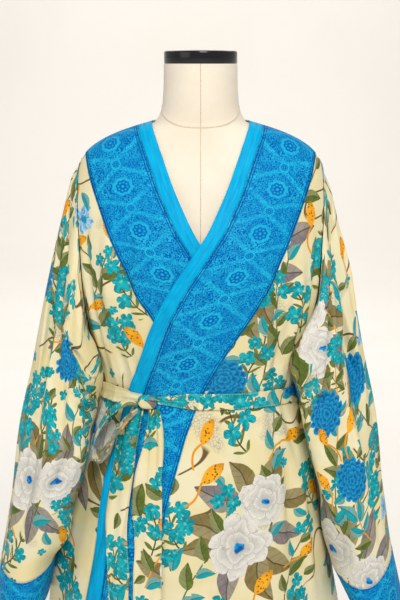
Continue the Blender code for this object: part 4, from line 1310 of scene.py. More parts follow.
def knot_grid():
    """Points of the knot, a rounded block with soft grooves where the sash wraps round itself."""
    middle = front_point(KNOT_PLACE, WAIST_HEIGHT - KNOT_DROP, SASH_LIFT + KNOT_HALF_DEPTH)
    facing = front_normal(float(angle_of(KNOT_PLACE, WAIST_HEIGHT)), WAIST_HEIGHT)
    facing = np.array([facing[0], facing[1], 0.0]) / math.hypot(facing[0], facing[1])
    aside = np.array([-facing[1], facing[0], 0.0])
    upwards = np.array([0.0, 0.0, 1.0])
    ring = np.linspace(0, 2 * math.pi, KNOT_SEGMENTS + 1)[None, :]
    rise = np.linspace(0, math.pi, KNOT_SEGMENTS // 2 + 1)[:, None]
    ball = np.stack(np.broadcast_arrays(np.sin(rise) * np.cos(ring), -np.sin(rise) * np.sin(ring),
                                        -np.cos(rise)), -1)
    across, deep, tall = np.moveaxis(np.sign(ball) * np.abs(ball) ** KNOT_SQUARENESS, -1, 0)
    wrap = np.abs(np.sin(KNOT_WRAPS * (across * KNOT_WRAP_ACROSS + tall * KNOT_WRAP_UP) + KNOT_WRAP_START))
    swell = 1.0 - KNOT_GROOVE * (1 - wrap) ** 3
    return (middle + (KNOT_HALF_WIDTH * across * swell)[..., None] * aside
            - (KNOT_HALF_DEPTH * deep * swell)[..., None] * facing
            + (KNOT_HALF_HEIGHT * tall * swell)[..., None] * upwards)


def tail_grid(table, waves, phase):
    """Points of a tail of the sash, from its end up to the knot."""
    top = WAIST_HEIGHT - KNOT_DROP - KNOT_HALF_HEIGHT - KNOT_GAP
    heights = np.linspace(TAIL_END_HEIGHT, top, TAIL_ROWS + 1)
    middle, width, lift = through(table, heights)
    steps = np.linspace(-0.5, 0.5, TAIL_COLUMNS + 1)
    near_knot = ease((heights - TAIL_GATHER_LOW) / (top - TAIL_GATHER_LOW))[:, None]
    drift = TAIL_DRIFT * np.sin(TAIL_DRIFT_RATE * heights[:, None])
    wave = np.cos(2 * math.pi * (waves * steps[None, :] + drift) + phase)
    crimp = TAIL_FOLD + (TAIL_GATHER - TAIL_FOLD) * near_knot
    across = middle[:, None] + steps[None, :] * width[:, None]
    return front_point(across, heights[:, None] + 0.0 * across, lift[:, None] + crimp * wave)


def loop_grid():
    """Points of the one loop of the bow."""
    places = np.linspace(0, len(BOW_LOOP) - 1, LOOP_SEGMENTS + 1)
    across, out, height, width = through([(place, *row) for place, row in enumerate(BOW_LOOP)], places)
    middle = np.stack([across, robe_point(angle_of(across, height), height)[:, 1] - out, height], -1)
    turn = math.radians(LOOP_TURN)
    aside = np.array([0.0, -math.cos(turn), -math.sin(turn)])
    steps = np.linspace(-0.5, 0.5, LOOP_ROWS + 1)[:, None]
    grid = middle[None, :, :] + aside * (steps * width[None, :])[..., None]
    drift = LOOP_DRIFT * np.sin(LOOP_DRIFT_RATE * places[None, :])
    return lifted(grid, LOOP_FOLD * np.cos(2 * math.pi * (LOOP_WAVES * steps + drift)))


def add_sash(looks):
    """The sash: its stretch round the waist, the knot, the loop of the bow and the tails."""
    cloths = {}
    waist = waist_grid()
    cloths["sash_waist"] = add_cloth("sash_waist", waist, corner_places(strip_flat(waist, SASH_START)),
                                     looks["print"])
    rows = edge_rows(waist)
    knot = knot_grid()
    corners = corner_places(strip_flat(knot.swapaxes(0, 1), KNOT_START).swapaxes(0, 1))
    cloths["sash_knot"] = grid_object("sash_knot_cloth", knot[:, ::-1], corners, looks["print"], wrap=True)
    close_poles(cloths["sash_knot"])
    for name, (table, waves, phase, start) in TAILS.items():
        grid = tail_grid(table, waves, phase)
        flat = strip_flat(grid.swapaxes(0, 1), start).swapaxes(0, 1)[..., ::-1]
        cloths[name] = add_cloth(name, grid, corner_places(flat), looks["print"])
        rows += edge_rows(grid.swapaxes(0, 1)[::-1])
    loop = loop_grid()
    cloths["sash_loop"] = add_cloth("sash_loop", loop, corner_places(strip_flat(loop, LOOP_START)),
                                    looks["print"], offset=0.0, reverse=looks["reverse"])
    return cloths, rows


def reshaped(mesh, change):
    """Change a mesh by an operation on its points and faces."""
    shape = bmesh.new()
    shape.from_mesh(mesh)
    change(shape)
    shape.to_mesh(mesh)
    shape.free()


def close_poles(thing):
    """Merge the points where a round grid comes together at its ends."""
    reshaped(thing.data, lambda shape: bmesh.ops.remove_doubles(shape, verts=shape.verts, dist=POLE_GAP))


def close_ends(shape):
    """Fill the open ends of the form's cover, with all faces outwards."""
    bmesh.ops.holes_fill(shape, edges=[edge for edge in shape.edges if edge.is_boundary], sides=0)
    bmesh.ops.recalc_face_normals(shape, faces=shape.faces)


def form_rings():
    """The dress form's sections, closer together than in its solid."""
    turn = np.linspace(-math.pi, math.pi, FORM_SEGMENTS + 1)
    sections = []
    for height in np.linspace(TORSO_RINGS[0][0], TORSO_RINGS[-1][0], TORSO_STEPS):
        sections.append((*through(TORSO_RINGS, height), height))
    for height in np.linspace(*SHOULDER_HEIGHTS, SHOULDER_STEPS):
        half_width, front, back = through(ROBE_RINGS, height + SHOULDER_CLEARANCE)
        sections.append((half_width, front - FRONT_CLEARANCE, back - BACK_CLEARANCE, height))
    for height in np.linspace(NECK_RINGS[0][0], NECK_RINGS[-1][0], NECK_STEPS):
        sections.append((*through(NECK_RINGS, height), height))
    return np.array([level_ring(turn, *section) for section in sections])


def add_form(looks):
    """The cloth-covered dress form and its gloss neck cap."""
    rings = form_rings()
    flat = np.stack([rings[..., 0], rings[..., 2]], -1)
    torso = grid_object("form_torso_cover", rings, corner_places(flat), looks["form"], wrap=True)
    reshaped(torso.data, close_ends)
    torso.data.set_sharp_from_angle(angle=math.radians(FORM_SHARP))
    low = NECK_RINGS[-1][0] + SEAM_GAP
    high = low + CAP_HEIGHT
    profile = [(CAP_RADIUS * radius, high + CAP_CROWN * rise) for radius, rise in CAP_CROWN_ROWS]
    profile.append((CAP_RADIUS - CAP_ROUNDING, high))
    for turn in np.linspace(math.pi / 2, 0, CAP_STEPS)[1:]:
        profile.append((CAP_RADIUS - CAP_ROUNDING * (1 - math.cos(turn)),
                        high - CAP_ROUNDING * (1 - math.sin(turn))))
    profile += [(CAP_RADIUS, low + CAP_EDGE), (CAP_RADIUS - CAP_EDGE, low), (0.0, low)]
    return torso, add_turned("neck_cap_gloss", profile, looks["cap"])


def add_form_seams(looks):
    """The cover's raised seams: round the foot of the neck, and up the middle of its front and back,
    coloured darker as painted shade.
    """
    rings = form_rings()
    heights = rings[:, 0, 2]
    aside = np.linspace(-1.0, 1.0, SEAM_COLUMNS)
    profile = (SEAM_RISE + SEAM_SINK) * (1 - aside**2) - SEAM_SINK
    turn = np.linspace(-math.pi, math.pi, FORM_SEGMENTS + 1)
    dip = np.where(np.cos(turn) > 0, NECK_SEAM_DIP, NECK_SEAM_DIP / 4) * np.cos(turn)
    places = NECK_SEAM_SIDE - dip + NECK_SEAM_HALF * aside[:, None]
    neck = np.stack([np.stack([np.interp(places[:, j], heights, rings[:, j, k]) for k in range(3)], -1)
                     for j in range(FORM_SEGMENTS + 1)], axis=1)
    grids = {"form_neck_seam": (lifted(neck, profile[:, None]), True)}
    upright = heights >= MIDDLE_SEAM_LOW
    for name, column, facing in (("form_front_seam", FORM_SEGMENTS // 2, 1), ("form_back_seam", 0, -1)):
        grid = np.repeat(rings[upright, column][:, None, :], len(aside), axis=1)
        grid[..., 0] += facing * MIDDLE_SEAM_HALF * aside
        grids[name] = (lifted(grid, profile[None, :]), False)
    return [grid_object(name, grid, corner_places(grid[..., ::2]), looks["seam"], wrap=closed)
            for name, (grid, closed) in grids.items()]


def add_turned(name, profile, material):
    """A solid turned round the upright axis from a profile, listed down its outer side."""
    thing = add_mesh(name, [(radius, 0.0, height) for radius, height in profile],
                     [(i, i + 1) for i in range(len(profile) - 1)], [], material)
    screw = thing.modifiers.new("turn", "SCREW")
    screw.steps = TURNED_STEPS
    screw.render_steps = TURNED_STEPS
    screw.use_merge_vertices = True
    screw.merge_threshold = 0.0001
    screw.use_smooth_shade = True
    return thing


def tone(red, green, blue):
    """A colour as seen on a screen, from 0 to 255, in the linear values that shading uses."""
    shares = [value / 255 for value in (red, green, blue)]
    return tuple(s / 12.92 if s <= 0.04045 else ((s + 0.055) / 1.055) ** 2.4 for s in shares) + (1.0,)


CREAM_LIGHT = tone(233, 224, 187)
CREAM_YELLOW = tone(229, 215, 164)
CREAM_GREEN = tone(198, 198, 148)
CRACKLE_GROUND = tone(200, 196, 182)
CRACKLE_LINE = tone(112, 108, 100)
# The reverse side's grey: the paler back of the print, and painted shade for the loop's inner face
REVERSE_WASH_AND_SHADE = tone(160, 160, 148)
PEONY_SHADE = tone(174, 172, 165)
PEONY_LIGHT = tone(227, 224, 214)
PEONY_LINE = tone(112, 108, 106)
HEART_DARK = tone(0, 90, 165)
HEART_LIGHT = tone(0, 150, 215)
OLIVE_DARK = tone(96, 80, 38)
OLIVE_LIGHT = tone(158, 142, 90)
MAUVE_DARK = tone(92, 84, 86)
MAUVE_LIGHT = tone(160, 150, 150)
GREEN_DARK = tone(46, 62, 18)
GREEN_LIGHT = tone(122, 142, 62)
LEAF_GLOW = tone(208, 200, 160)
LEAF_LINE = tone(62, 52, 34)
POMPOM_DARK = tone(0, 84, 146)
POMPOM_LIGHT = tone(24, 160, 208)
TEAL_DARK = tone(0, 130, 140)
TEAL_LIGHT = tone(20, 180, 190)
TEAL_LINE = tone(0, 92, 105)
TEAL_HEART = tone(120, 200, 190)
BUD_DARK = tone(228, 140, 10)
BUD_LIGHT = tone(252, 190, 50)
BUD_SPECK = tone(84, 66, 20)
BUD_STEM = tone(226, 150, 28)
BLOOM_DARK = tone(84, 160, 208)
BLOOM_LIGHT = tone(176, 214, 234)
BLOOM_HEART = tone(20, 140, 180)
SPRIG_DARK = tone(70, 90, 34)
SPRIG_LIGHT = tone(132, 150, 70)
SPRIG_STEM = tone(74, 74, 36)
VINE_OLIVE = tone(86, 94, 44)
VINE_BROWN = tone(108, 84, 54)
BORDER_DARK = tone(0, 88, 168)
BORDER_MID = tone(0, 128, 196)
BORDER_LIGHT = tone(34, 186, 224)
BORDER_LINE = tone(0, 66, 142)
# The narrow band's blue in the lighter and darker tones of its painted sheen
BAND_SHEEN_DARK = tone(0, 156, 212)
BAND_SHEEN_LIGHT = tone(6, 178, 226)
BAND_SHEEN_DEEP = tone(0, 138, 198)
FORM_LIGHT = tone(238, 229, 212)
FORM_WARM = tone(234, 221, 200)
FORM_SLUB = tone(222, 206, 182)


class Number:
    """A socket of a material, whose arithmetic makes the nodes for it."""

    def __init__(self, graph, socket):
        self.graph = graph
        self.socket = socket

    def __add__(self, other):
        return self.graph.math("ADD", self, other)

    def __sub__(self, other):
        return self.graph.math("SUBTRACT", self, other)

    def __rsub__(self, other):
        return self.graph.math("SUBTRACT", other, self)

    def __mul__(self, other):
        return self.graph.math("MULTIPLY", self, other)

    def __truediv__(self, other):
        return self.graph.math("DIVIDE", self, other)

    def __abs__(self):
        return self.graph.math("ABSOLUTE", self)

    __radd__ = __add__
    __rmul__ = __mul__


class Graph:
    """The nodes of one material, made by short expressions."""

    def __init__(self, name, roughness, specular, sheen=0.0, metallic=0.0):
        self.material = bpy.data.materials.new(name)
        self.material.use_nodes = True
        self.tree = self.material.node_tree
        self.shader = self.tree.nodes["Principled BSDF"]
        finish = {"Roughness": roughness, "Specular IOR Level": specular, "Sheen Weight": sheen,
                  "Sheen Roughness": SHEEN_ROUGHNESS, "Metallic": metallic}
        for key, value in finish.items():
            self.shader.inputs[key].default_value = value

    def feed(self, socket, value):
        if isinstance(value, Number):
            self.tree.links.new(value.socket, socket)
        else:
            socket.default_value = value

    def made(self, kind, output, inputs, **settings):
        """What a new node gives out, once its settings are made and its sockets fed."""
        node = self.tree.nodes.new(kind)
        for key, value in settings.items():
            setattr(node, key, value)
        for key, value in inputs.items():
            self.feed(node.inputs[key], value)
        return Number(self, node.outputs[output])

    def math(self, operation, *values):
        return self.made("ShaderNodeMath", 0, dict(enumerate(values)), operation=operation)

    def step(self, value, low, high):
        """0 at low and 1 at high, with a smooth step between them; low may be the larger."""
        return self.made("ShaderNodeMapRange", "Result", {"Value": value, "From Min": low, "From Max": high},
                         interpolation_type="SMOOTHSTEP")

    def mix(self, share, first, second):
        """A colour between two, first at a share of 0."""
        return self.made("ShaderNodeMix", 2, {0: share, 6: first, 7: second}, data_type="RGBA")

    def larger(self, first, second):
        return self.math("MAXIMUM", first, second)

    def smaller(self, first, second):
        return self.math("MINIMUM", first, second)

    def power(self, value, exponent):
        return self.math("POWER", value, exponent)

    def sine(self, value):
        return self.math("SINE", value)

    def wrapped(self, value, half):
        """A value brought between -half and half by whole turns."""
        return self.math("WRAP", value, half, -half)

    def distance(self, x, y):
        return self.math("SQRT", x * x + y * y)

    def parts(self, vector):
        first = self.made("ShaderNodeSeparateXYZ", 0, {0: vector})
        return tuple(Number(self, socket) for socket in first.socket.node.outputs)

    def vector(self, x, y, z=0.0):
        return self.made("ShaderNodeCombineXYZ", 0, {0: x, 1: y, 2: z})

    def moved(self, vector, shift):
        """The same coordinates from another place, so that two noises differ."""
        return self.made("ShaderNodeVectorMath", 0, {0: vector, 1: (shift, SHIFT_ASIDE * shift, 0.0)},
                         operation="ADD")

    def kept(self, name):
        """The numbers that the mesh keeps for its corners."""
        return self.made("ShaderNodeAttribute", "Vector", {}, attribute_type="GEOMETRY", attribute_name=name)

    def noise(self, vector, scale, detail=2.0, output="Fac"):
        """Soft noise: one value, or three as a vector from the output Color."""
        return self.made("ShaderNodeTexNoise", output, {"Vector": vector, "Scale": scale, "Detail": detail})

    def wash(self, x, y, z, scale, detail=2.0):
        """Soft noise over a motif's own coordinates."""
        return self.noise(self.vector(x, y, z), scale, detail)

    def cells(self, vector, scale, feature="F1"):
        """Distance to the nearest of many scattered points, or to the edge between their cells."""
        return self.made("ShaderNodeTexVoronoi", "Distance", {"Vector": vector, "Scale": scale},
                         feature=feature)

    def raised(self, height, depth, strength=1.0):
        """Feed a height into the shader as a fine relief."""
        relief = {"Strength": strength, "Distance": depth, "Height": height}
        self.feed(self.shader.inputs["Normal"], self.made("ShaderNodeBump", "Normal", relief))

    def satin(self, flat, weave, crumple, depth, strength):
        """The relief of satin: a share of its weave, and fine crumples of a scale."""
        crumples = self.noise(self.moved(flat, 3.0), crumple, 3.0)
        self.raised(self.noise(flat, WEAVE_SCALE, 1.0) * weave + crumples, depth, strength)

    def coloured(self, colour):
        self.feed(self.shader.inputs["Base Color"], colour)
        return self.material

    def motif(self, name, scale, wobble):
        """A motif's own coordinates on the cloth, made a little uneven by hand, and its seed."""
        x, y, seed = self.parts(self.kept(name))
        uneven = self.noise(self.vector(x, y, seed * 9.0), scale, output="Color")
        red, green, _ = self.parts(uneven)
        return x + (red - 0.5) * wobble, y + (green - 0.5) * wobble, seed

    def flower(self, name, scale, wobble):
        """The same for a round motif, with the distance from its middle and the turn round it."""
        x, y, seed = self.motif(name, scale, wobble)
        return x, y, seed, self.distance(x, y), self.math("ARCTAN2", y, x)


def paint_peony(g, ground, name):
    """A large white flower: three rings of wavy petals in thin grey lines round a bright blue centre."""
    x, y, seed, r, turn = g.flower(name, 1.25, 0.72)
    fibre = g.wash(x * 2.0, y * 2.0, seed * 5.0, 3.0, 3.0)
    ripple = g.wash(r * 2.2, turn * 0.9, seed * 3.0, 1.6, 1.0)
    picture = ground
    for reach, petals, start in PEONY_RINGS:
        lobe = abs(g.sine(turn * (petals / 2) + seed * 17.0 + start))
        edge = (0.80 + 0.20 * g.power(lobe, 0.5)) * reach
        inside = g.step(edge - r, 0.0, 0.02)
        near_edge = g.step(r / edge, 0.50, 1.0)
        petal = g.mix(near_edge * 0.62 + fibre * 0.75, PEONY_SHADE, PEONY_LIGHT)
        outline = g.step(abs(r - edge), 0.024, 0.006)
        parting = g.step(lobe, 0.10, 0.03) * g.step(r, reach * 0.55, reach * 0.75)
        wave = g.step(abs(g.wrapped(ripple * 9.0 + start, 0.5)), 0.05, 0.015) * 0.55
        line = g.larger(g.larger(outline, parting * 0.7), wave)
        picture = g.mix(inside, picture, g.mix(line * 0.75, petal, PEONY_LINE))
    heart = g.step(r + fibre * 0.10, 0.20, 0.15)
    speck = g.step(fibre, 0.46, 0.54)
    return g.mix(heart, picture, g.mix(speck, HEART_DARK, HEART_LIGHT))


def paint_leaf(g, ground, name):
    """A leaf with a midrib and side veins, olive, grey, green or teal by its seed."""
    x, y, seed = g.motif(name, 1.3, 0.16)
    y = y + (x * x - 0.4) * (seed - 0.5) * 0.7
    half = g.power(g.larger(1.0 - x * x, 0.0), 0.75) * (0.50 - 0.18 * x)
    side = abs(y)
    wash = g.wash(x, y, seed * 7.0, 2.4, 3.0)
    vein = g.step(abs(g.wrapped(x * 2.6 - side * 2.2, 0.5)), 0.09, 0.02)
    rib = g.step(side, 0.045, 0.015)
    colour = g.mix(wash, OLIVE_DARK, OLIVE_LIGHT)
    for level, dark, light in ((0.30, MAUVE_DARK, MAUVE_LIGHT), (0.60, GREEN_DARK, GREEN_LIGHT),
                               (0.82, TEAL_DARK, TEAL_LIGHT)):
        colour = g.mix(g.step(seed, level, level + KIND_STEP), colour, g.mix(wash, dark, light))
    colour = g.mix(g.step(y, -0.03, 0.03) * 0.24, colour, LEAF_GLOW)
    colour = g.mix(g.larger(rib, vein * 0.45) * 0.75, colour, LEAF_LINE)
    return g.mix(g.step(half - side, 0.0, 0.035), ground, colour)


def paint_pompom(g, ground, name):
    """A round blue flower of many small petals."""
    x, y, seed, r, turn = g.flower(name, 2.2, 0.30)
    wash = g.wash(x, y, seed * 8.0, 3.5, 3.0)
    picture = ground
    for reach, petals, start in POMPOM_RINGS:
        lobe = abs(g.sine(turn * (petals / 2) + seed * 20.0 + start + wash * 1.6))
        edge = (0.80 + 0.20 * g.power(lobe, 0.6)) * reach + (wash - 0.5) * 0.10
        depth = g.step(edge - r, 0.20, 0.02)
        colour = g.mix(depth * 0.75 + wash * 0.4 - 0.12, POMPOM_DARK, POMPOM_LIGHT)
        colour = g.mix(g.step(lobe, 0.30, 0.05) * 0.7, colour, POMPOM_DARK)
        picture = g.mix(g.step(edge - r, 0.0, 0.03), picture, colour)
    return picture


def paint_blossom(g, ground, name):
    """A small teal flower of five round petals."""
    x, y, seed, r, turn = g.flower(name, 1.4, 0.35)
    lobe = g.power(abs(g.sine(turn * 2.5 + seed * 15.0)), 0.5)
    reach = 0.82 + 0.18 * g.sine(turn + seed * 31.0)
    wash = g.wash(x, y, seed * 8.0, 2.0)
    edge = (0.44 + 0.56 * lobe) * reach + (wash - 0.5) * 0.18
    brush = g.wash(turn * 2.6, r * 0.7, seed * 5.0, 2.4, 1.0)
    colour = g.mix(g.step(wash + brush, 0.80, 1.20), TEAL_DARK, TEAL_LIGHT)
    rim = g.step(abs(edge - r - 0.05), 0.08, 0.02) * g.step(brush, 0.40, 0.55)
    colour = g.mix(rim * 0.55, colour, TEAL_LINE)
    colour = g.mix(g.step(r, 0.16, 0.08) * 0.7, colour, TEAL_HEART)
    return g.mix(g.step(edge - r, 0.0, 0.06), ground, colour)


def paint_bud(g, ground, name):
    """A spindle-shaped yellow bud with dark specks, on a thin orange stem."""
    x, y, seed = g.motif(name, 1.2, 0.14)
    stem = g.step(abs(y - 0.22 * g.sine(x * 3.0 + seed * 6.0)), 0.060, 0.030)
    stem = stem * g.step(x, -1.0, -0.92) * g.step(x, 0.12, 0.02)
    picture = g.mix(stem, ground, BUD_STEM)
    along = (x - 0.48) / 0.52
    offset = y - 0.22 * g.sine(seed * 6.0) * 0.9
    half = g.power(g.larger(1.0 - along * along, 0.0), 0.8) * 0.26
    speck = g.step(g.cells(g.vector(x, y, seed * 4.0), 9.0), 0.36, 0.26)
    tip = g.step(along + 0.5 * offset, 0.35, 0.95)
    colour = g.mix(g.wash(x, y, seed, 3.0), BUD_DARK, BUD_LIGHT)
    colour = g.mix(g.larger(speck * 0.85, tip * 0.35), colour, BUD_SPECK)
    return g.mix(g.step(half - abs(offset), 0.0, 0.035), picture, colour)


def paint_bloom(g, ground, name):
    """A loose pale blue flower, brushed in a few strokes."""
    _, _, seed, r, turn = g.flower(name, 1.6, 0.55)
    edge = 0.55 + 0.38 * abs(g.sine(turn * 2.0 + seed * 11.0))
    brush = g.wash(turn * 2.2, r * 0.8, seed * 6.0, 2.6)
    colour = g.mix(g.step(brush, 0.40, 0.60), BLOOM_DARK, BLOOM_LIGHT)
    colour = g.mix(g.step(r, 0.30, 0.16), colour, BLOOM_HEART)
    return g.mix(g.step(edge - r, 0.0, 0.10) * g.step(brush, 0.24, 0.36), ground, colour)


def paint_sprig(g, ground, name):
    """A thin stem with pairs of small leaves."""
    x, y, seed = g.motif(name, 1.0, 0.14)
    y = y - 0.16 * g.sine(x * 2.2 + seed * 5.0)
    within = g.step(x, -1.0, -0.9) * g.step(x, 1.0, 0.9)
    side = abs(y)
    along = abs(g.wrapped(x * 2.6 - side * 2.2 + seed, 0.5))
    reach = 0.40 * (1.0 - 0.45 * g.larger(x, 0.0))
    middle = (side - reach * 0.5) / (reach * 0.5)
    width = g.power(g.larger(1.0 - middle * middle, 0.0), 0.7) * 0.24
    colour = g.mix(g.wash(x, y, seed * 6.0, 3.0), SPRIG_DARK, SPRIG_LIGHT)
    colour = g.mix(g.step(along, 0.04, 0.0) * 0.5, colour, SPRIG_STEM)
    picture = g.mix(g.step(width - along, 0.0, 0.05) * within, ground, colour)
    return g.mix(g.step(side, 0.040, 0.018) * within, picture, SPRIG_STEM)


def paint_stem(g, ground, name):
    """One length of a vine's stem: brown, olive or orange by its seed."""
    x, y, seed = g.motif(name, 1.2, 0.16)
    inside = g.step(abs(y), 0.115, 0.070) * g.step(abs(x), 1.20, 1.10)
    colour = VINE_BROWN
    for level, other in ((0.40, VINE_OLIVE), (0.80, BUD_STEM)):
        colour = g.mix(g.step(seed, level, level + KIND_STEP), colour, other)
    return g.mix(inside, ground, g.mix(g.step(y, 0.0, 0.08) * 0.35, colour, LEAF_GLOW))


PAINTERS = {"bloom": paint_bloom, "sprig": paint_sprig, "leaf": paint_leaf, "stem": paint_stem,
            "peony": paint_peony, "blossom": paint_blossom, "pompom": paint_pompom, "bud": paint_bud}


def print_look(name, wash_and_shade=0.0):
    """The painted flower print on cream satin; with a wash, it is greyed as the paler back of the print, and
    further as painted shade.
    """
    g = Graph(name, 0.46, 0.16)
    flat = g.kept("flat")
    colour = g.mix(g.step(g.noise(flat, 14.0), 0.35, 0.65), CREAM_LIGHT, CREAM_YELLOW)
    shade = g.noise(g.moved(flat, 7.3), 9.0)
    colour = g.mix(g.step(shade, 0.60, 0.78) * 0.35, colour, CREAM_GREEN)
    patch = g.step(shade, 0.38, 0.33)
    crackle = g.step(g.cells(flat, 230.0, "DISTANCE_TO_EDGE"), 0.11, 0.03)
    colour = g.mix(patch * 0.30, colour, CRACKLE_GROUND)
    colour = g.mix(patch * crackle * 0.45, colour, CRACKLE_LINE)
    course = g.noise(g.moved(flat, 3.1), 6.5, 1.0)
    gate = g.step(g.noise(g.moved(flat, 5.1), 11.0, 0.0), 0.47, 0.52)
    for layer in LAYERS:
        colour = PAINTERS[layer.split("_")[0]](g, colour, layer)
        if layer == "bloom":
            colour = g.mix(g.step(abs(course - 0.5), 0.0080, 0.0040) * gate, colour, VINE_BROWN)
    # On the reverse side the print is greyed: the paler back of the cloth, with painted shade for the loop's
    # inner face
    if wash_and_shade:
        colour = g.mix(wash_and_shade, colour, REVERSE_WASH_AND_SHADE)
    g.satin(flat, 0.15, 75.0, 0.0009, 0.8)
    return g.coloured(colour)


def border_look():
    """Blue satin with a fine scribbled ground and rows of round flowers, a half step apart."""
    g = Graph("blue_border_satin", 0.55, 0.05)
    flat = g.kept("flat")
    across, along, edge = g.parts(flat)
    half_width = MEDALLION_ACROSS / 2
    half_length = MEDALLION_ALONG / 2
    near = (g.wrapped(across, half_width), g.wrapped(along, half_length))
    far = (g.wrapped(across + half_width, half_width), g.wrapped(along + half_length, half_length))
    scribble = g.step(abs(g.wrapped(g.noise(flat, 150.0, 1.0) * 5.0, 0.5)), 0.16, 0.30)
    light = scribble * (0.52 + 0.30 * g.step(g.noise(flat, 45.0), 0.38, 0.62))
    diamond = abs(near[0]) / half_width + abs(near[1]) / half_length
    ring = g.step(abs(diamond - 0.86), 0.15, 0.07) * (0.35 + 0.65 * scribble)
    light = g.larger(light, ring * 0.95)
    for places, size in (((near[0], near[1]), FLORET), ((far[0], far[1]), FLORET),
                         ((near[0], far[1]), SMALL_FLORET), ((far[0], near[1]), SMALL_FLORET)):
        lobe = abs(g.sine(g.math("ARCTAN2", places[1], places[0]) * 4.0))
        r = g.distance(*places) / size * (1.12 - 0.16 * lobe)
        leaves = g.step(abs(r - 0.76), 0.20, 0.10) * (0.80 + 0.20 * scribble)
        dots = g.step(abs(r - 0.38), 0.12, 0.05) * g.step(lobe, 0.35, 0.75)
        heart = g.step(r, 0.17, 0.07)
        flower = g.larger(g.larger(leaves, dots * 0.7), heart * 0.9)
        light = g.mix(g.step(r, 0.95, 0.80) * 0.9, light, flower)
    colour = g.mix(g.smaller(light, 1.0), BORDER_DARK, BORDER_LIGHT)
    colour = g.mix(g.step(g.noise(g.moved(flat, 5.0), 18.0), 0.35, 0.70) * 0.25, colour, BORDER_MID)
    lines = g.larger(*(g.step(abs(edge - place), outer, inner) for place, outer, inner in BORDER_LINES))
    colour = g.mix(lines * 0.85, colour, BORDER_LINE)
    g.satin(flat, 0.15, 70.0, 0.0007, 0.7)
    return g.coloured(colour)


def band_look():
    """Plain light blue satin, with painted sheen: lighter and darker streaks along its length, and darker
    patches.
    """
    g = Graph("plain_blue_satin", 0.52, 0.06)
    flat = g.kept("flat")
    across, along, _ = g.parts(flat)
    sheen_streak = g.wash(across * 420.0, along * 26.0, 0.0, 1.0)
    colour = g.mix(g.step(sheen_streak, 0.30, 0.70), BAND_SHEEN_DARK, BAND_SHEEN_LIGHT)
    colour = g.mix(g.step(g.noise(flat, 30.0), 0.45, 0.75) * 0.35, colour, BAND_SHEEN_DEEP)
    g.satin(flat, 0.2, 80.0, 0.0007, 0.7)
    return g.coloured(colour)


def form_look():
    """The dress form's cream cloth, finely woven."""
    g = Graph("cream_form_cloth", 0.85, 0.18, sheen=0.15)
    flat = g.kept("flat")
    across, along, _ = g.parts(flat)
    colour = g.mix(g.step(g.noise(flat, 9.0, 3.0), 0.3, 0.7), FORM_LIGHT, FORM_WARM)
    threads = g.larger(abs(g.sine(across * THREAD_TURNS)), abs(g.sine(along * THREAD_TURNS)))
    slub = g.wash(across * 900.0, along * 90.0, 0.0, 1.0, 1.0)
    colour = g.mix(g.step(slub, 0.58, 0.75) * 0.25, colour, FORM_SLUB)
    g.raised(threads + slub, 0.00025, 0.6)
    return g.coloured(colour)


def solid_look(name, dark, light, roughness, specular, scale, relief):
    """A painted, moulded or thread surface with faint unevenness."""
    g = Graph(name, roughness, specular)
    mottle = g.noise(g.made("ShaderNodeTexCoord", "Object", {}), scale, 3.0)
    g.raised(mottle, relief, 0.5)
    return g.coloured(g.mix(g.step(mottle, 0.3, 0.7), tone(*dark), tone(*light)))


def make_looks():
    """Every material of the scene, by its short name."""
    # The reverse is the print greyed by 0.40: the paler back of the cloth, with painted shade for the loop's
    # inner face
    looks = {"print": print_look("floral_satin"), "reverse": print_look("floral_satin_reverse", 0.40),
             "border": border_look(), "band": band_look(), "form": form_look()}
    looks.update({key: solid_look(*row) for key, row in SOLID_LOOKS.items()})
    return looks


def scattered(random, taken, area, tries, reach, share=1.0):
    """Places in an area that keep clear of all the places taken so far, and of each other."""
    found = []
    low_u, high_u, low_v, high_v = area
    for _ in range(tries):
        u = random.uniform(low_u, high_u)
        v = random.uniform(low_v, high_v)
        others = np.array(taken) if taken else np.zeros((0, 3))
        gaps = np.hypot(others[:, 0] - u, others[:, 1] - v)
        if np.all(gaps > share * (others[:, 2] + reach)):
            taken.append((u, v, reach))
            found.append((u, v))
    return found


def away(u, v, way, far):
    """The place at a distance from another, in a direction."""
    return u + far * math.cos(way), v + far * math.sin(way)


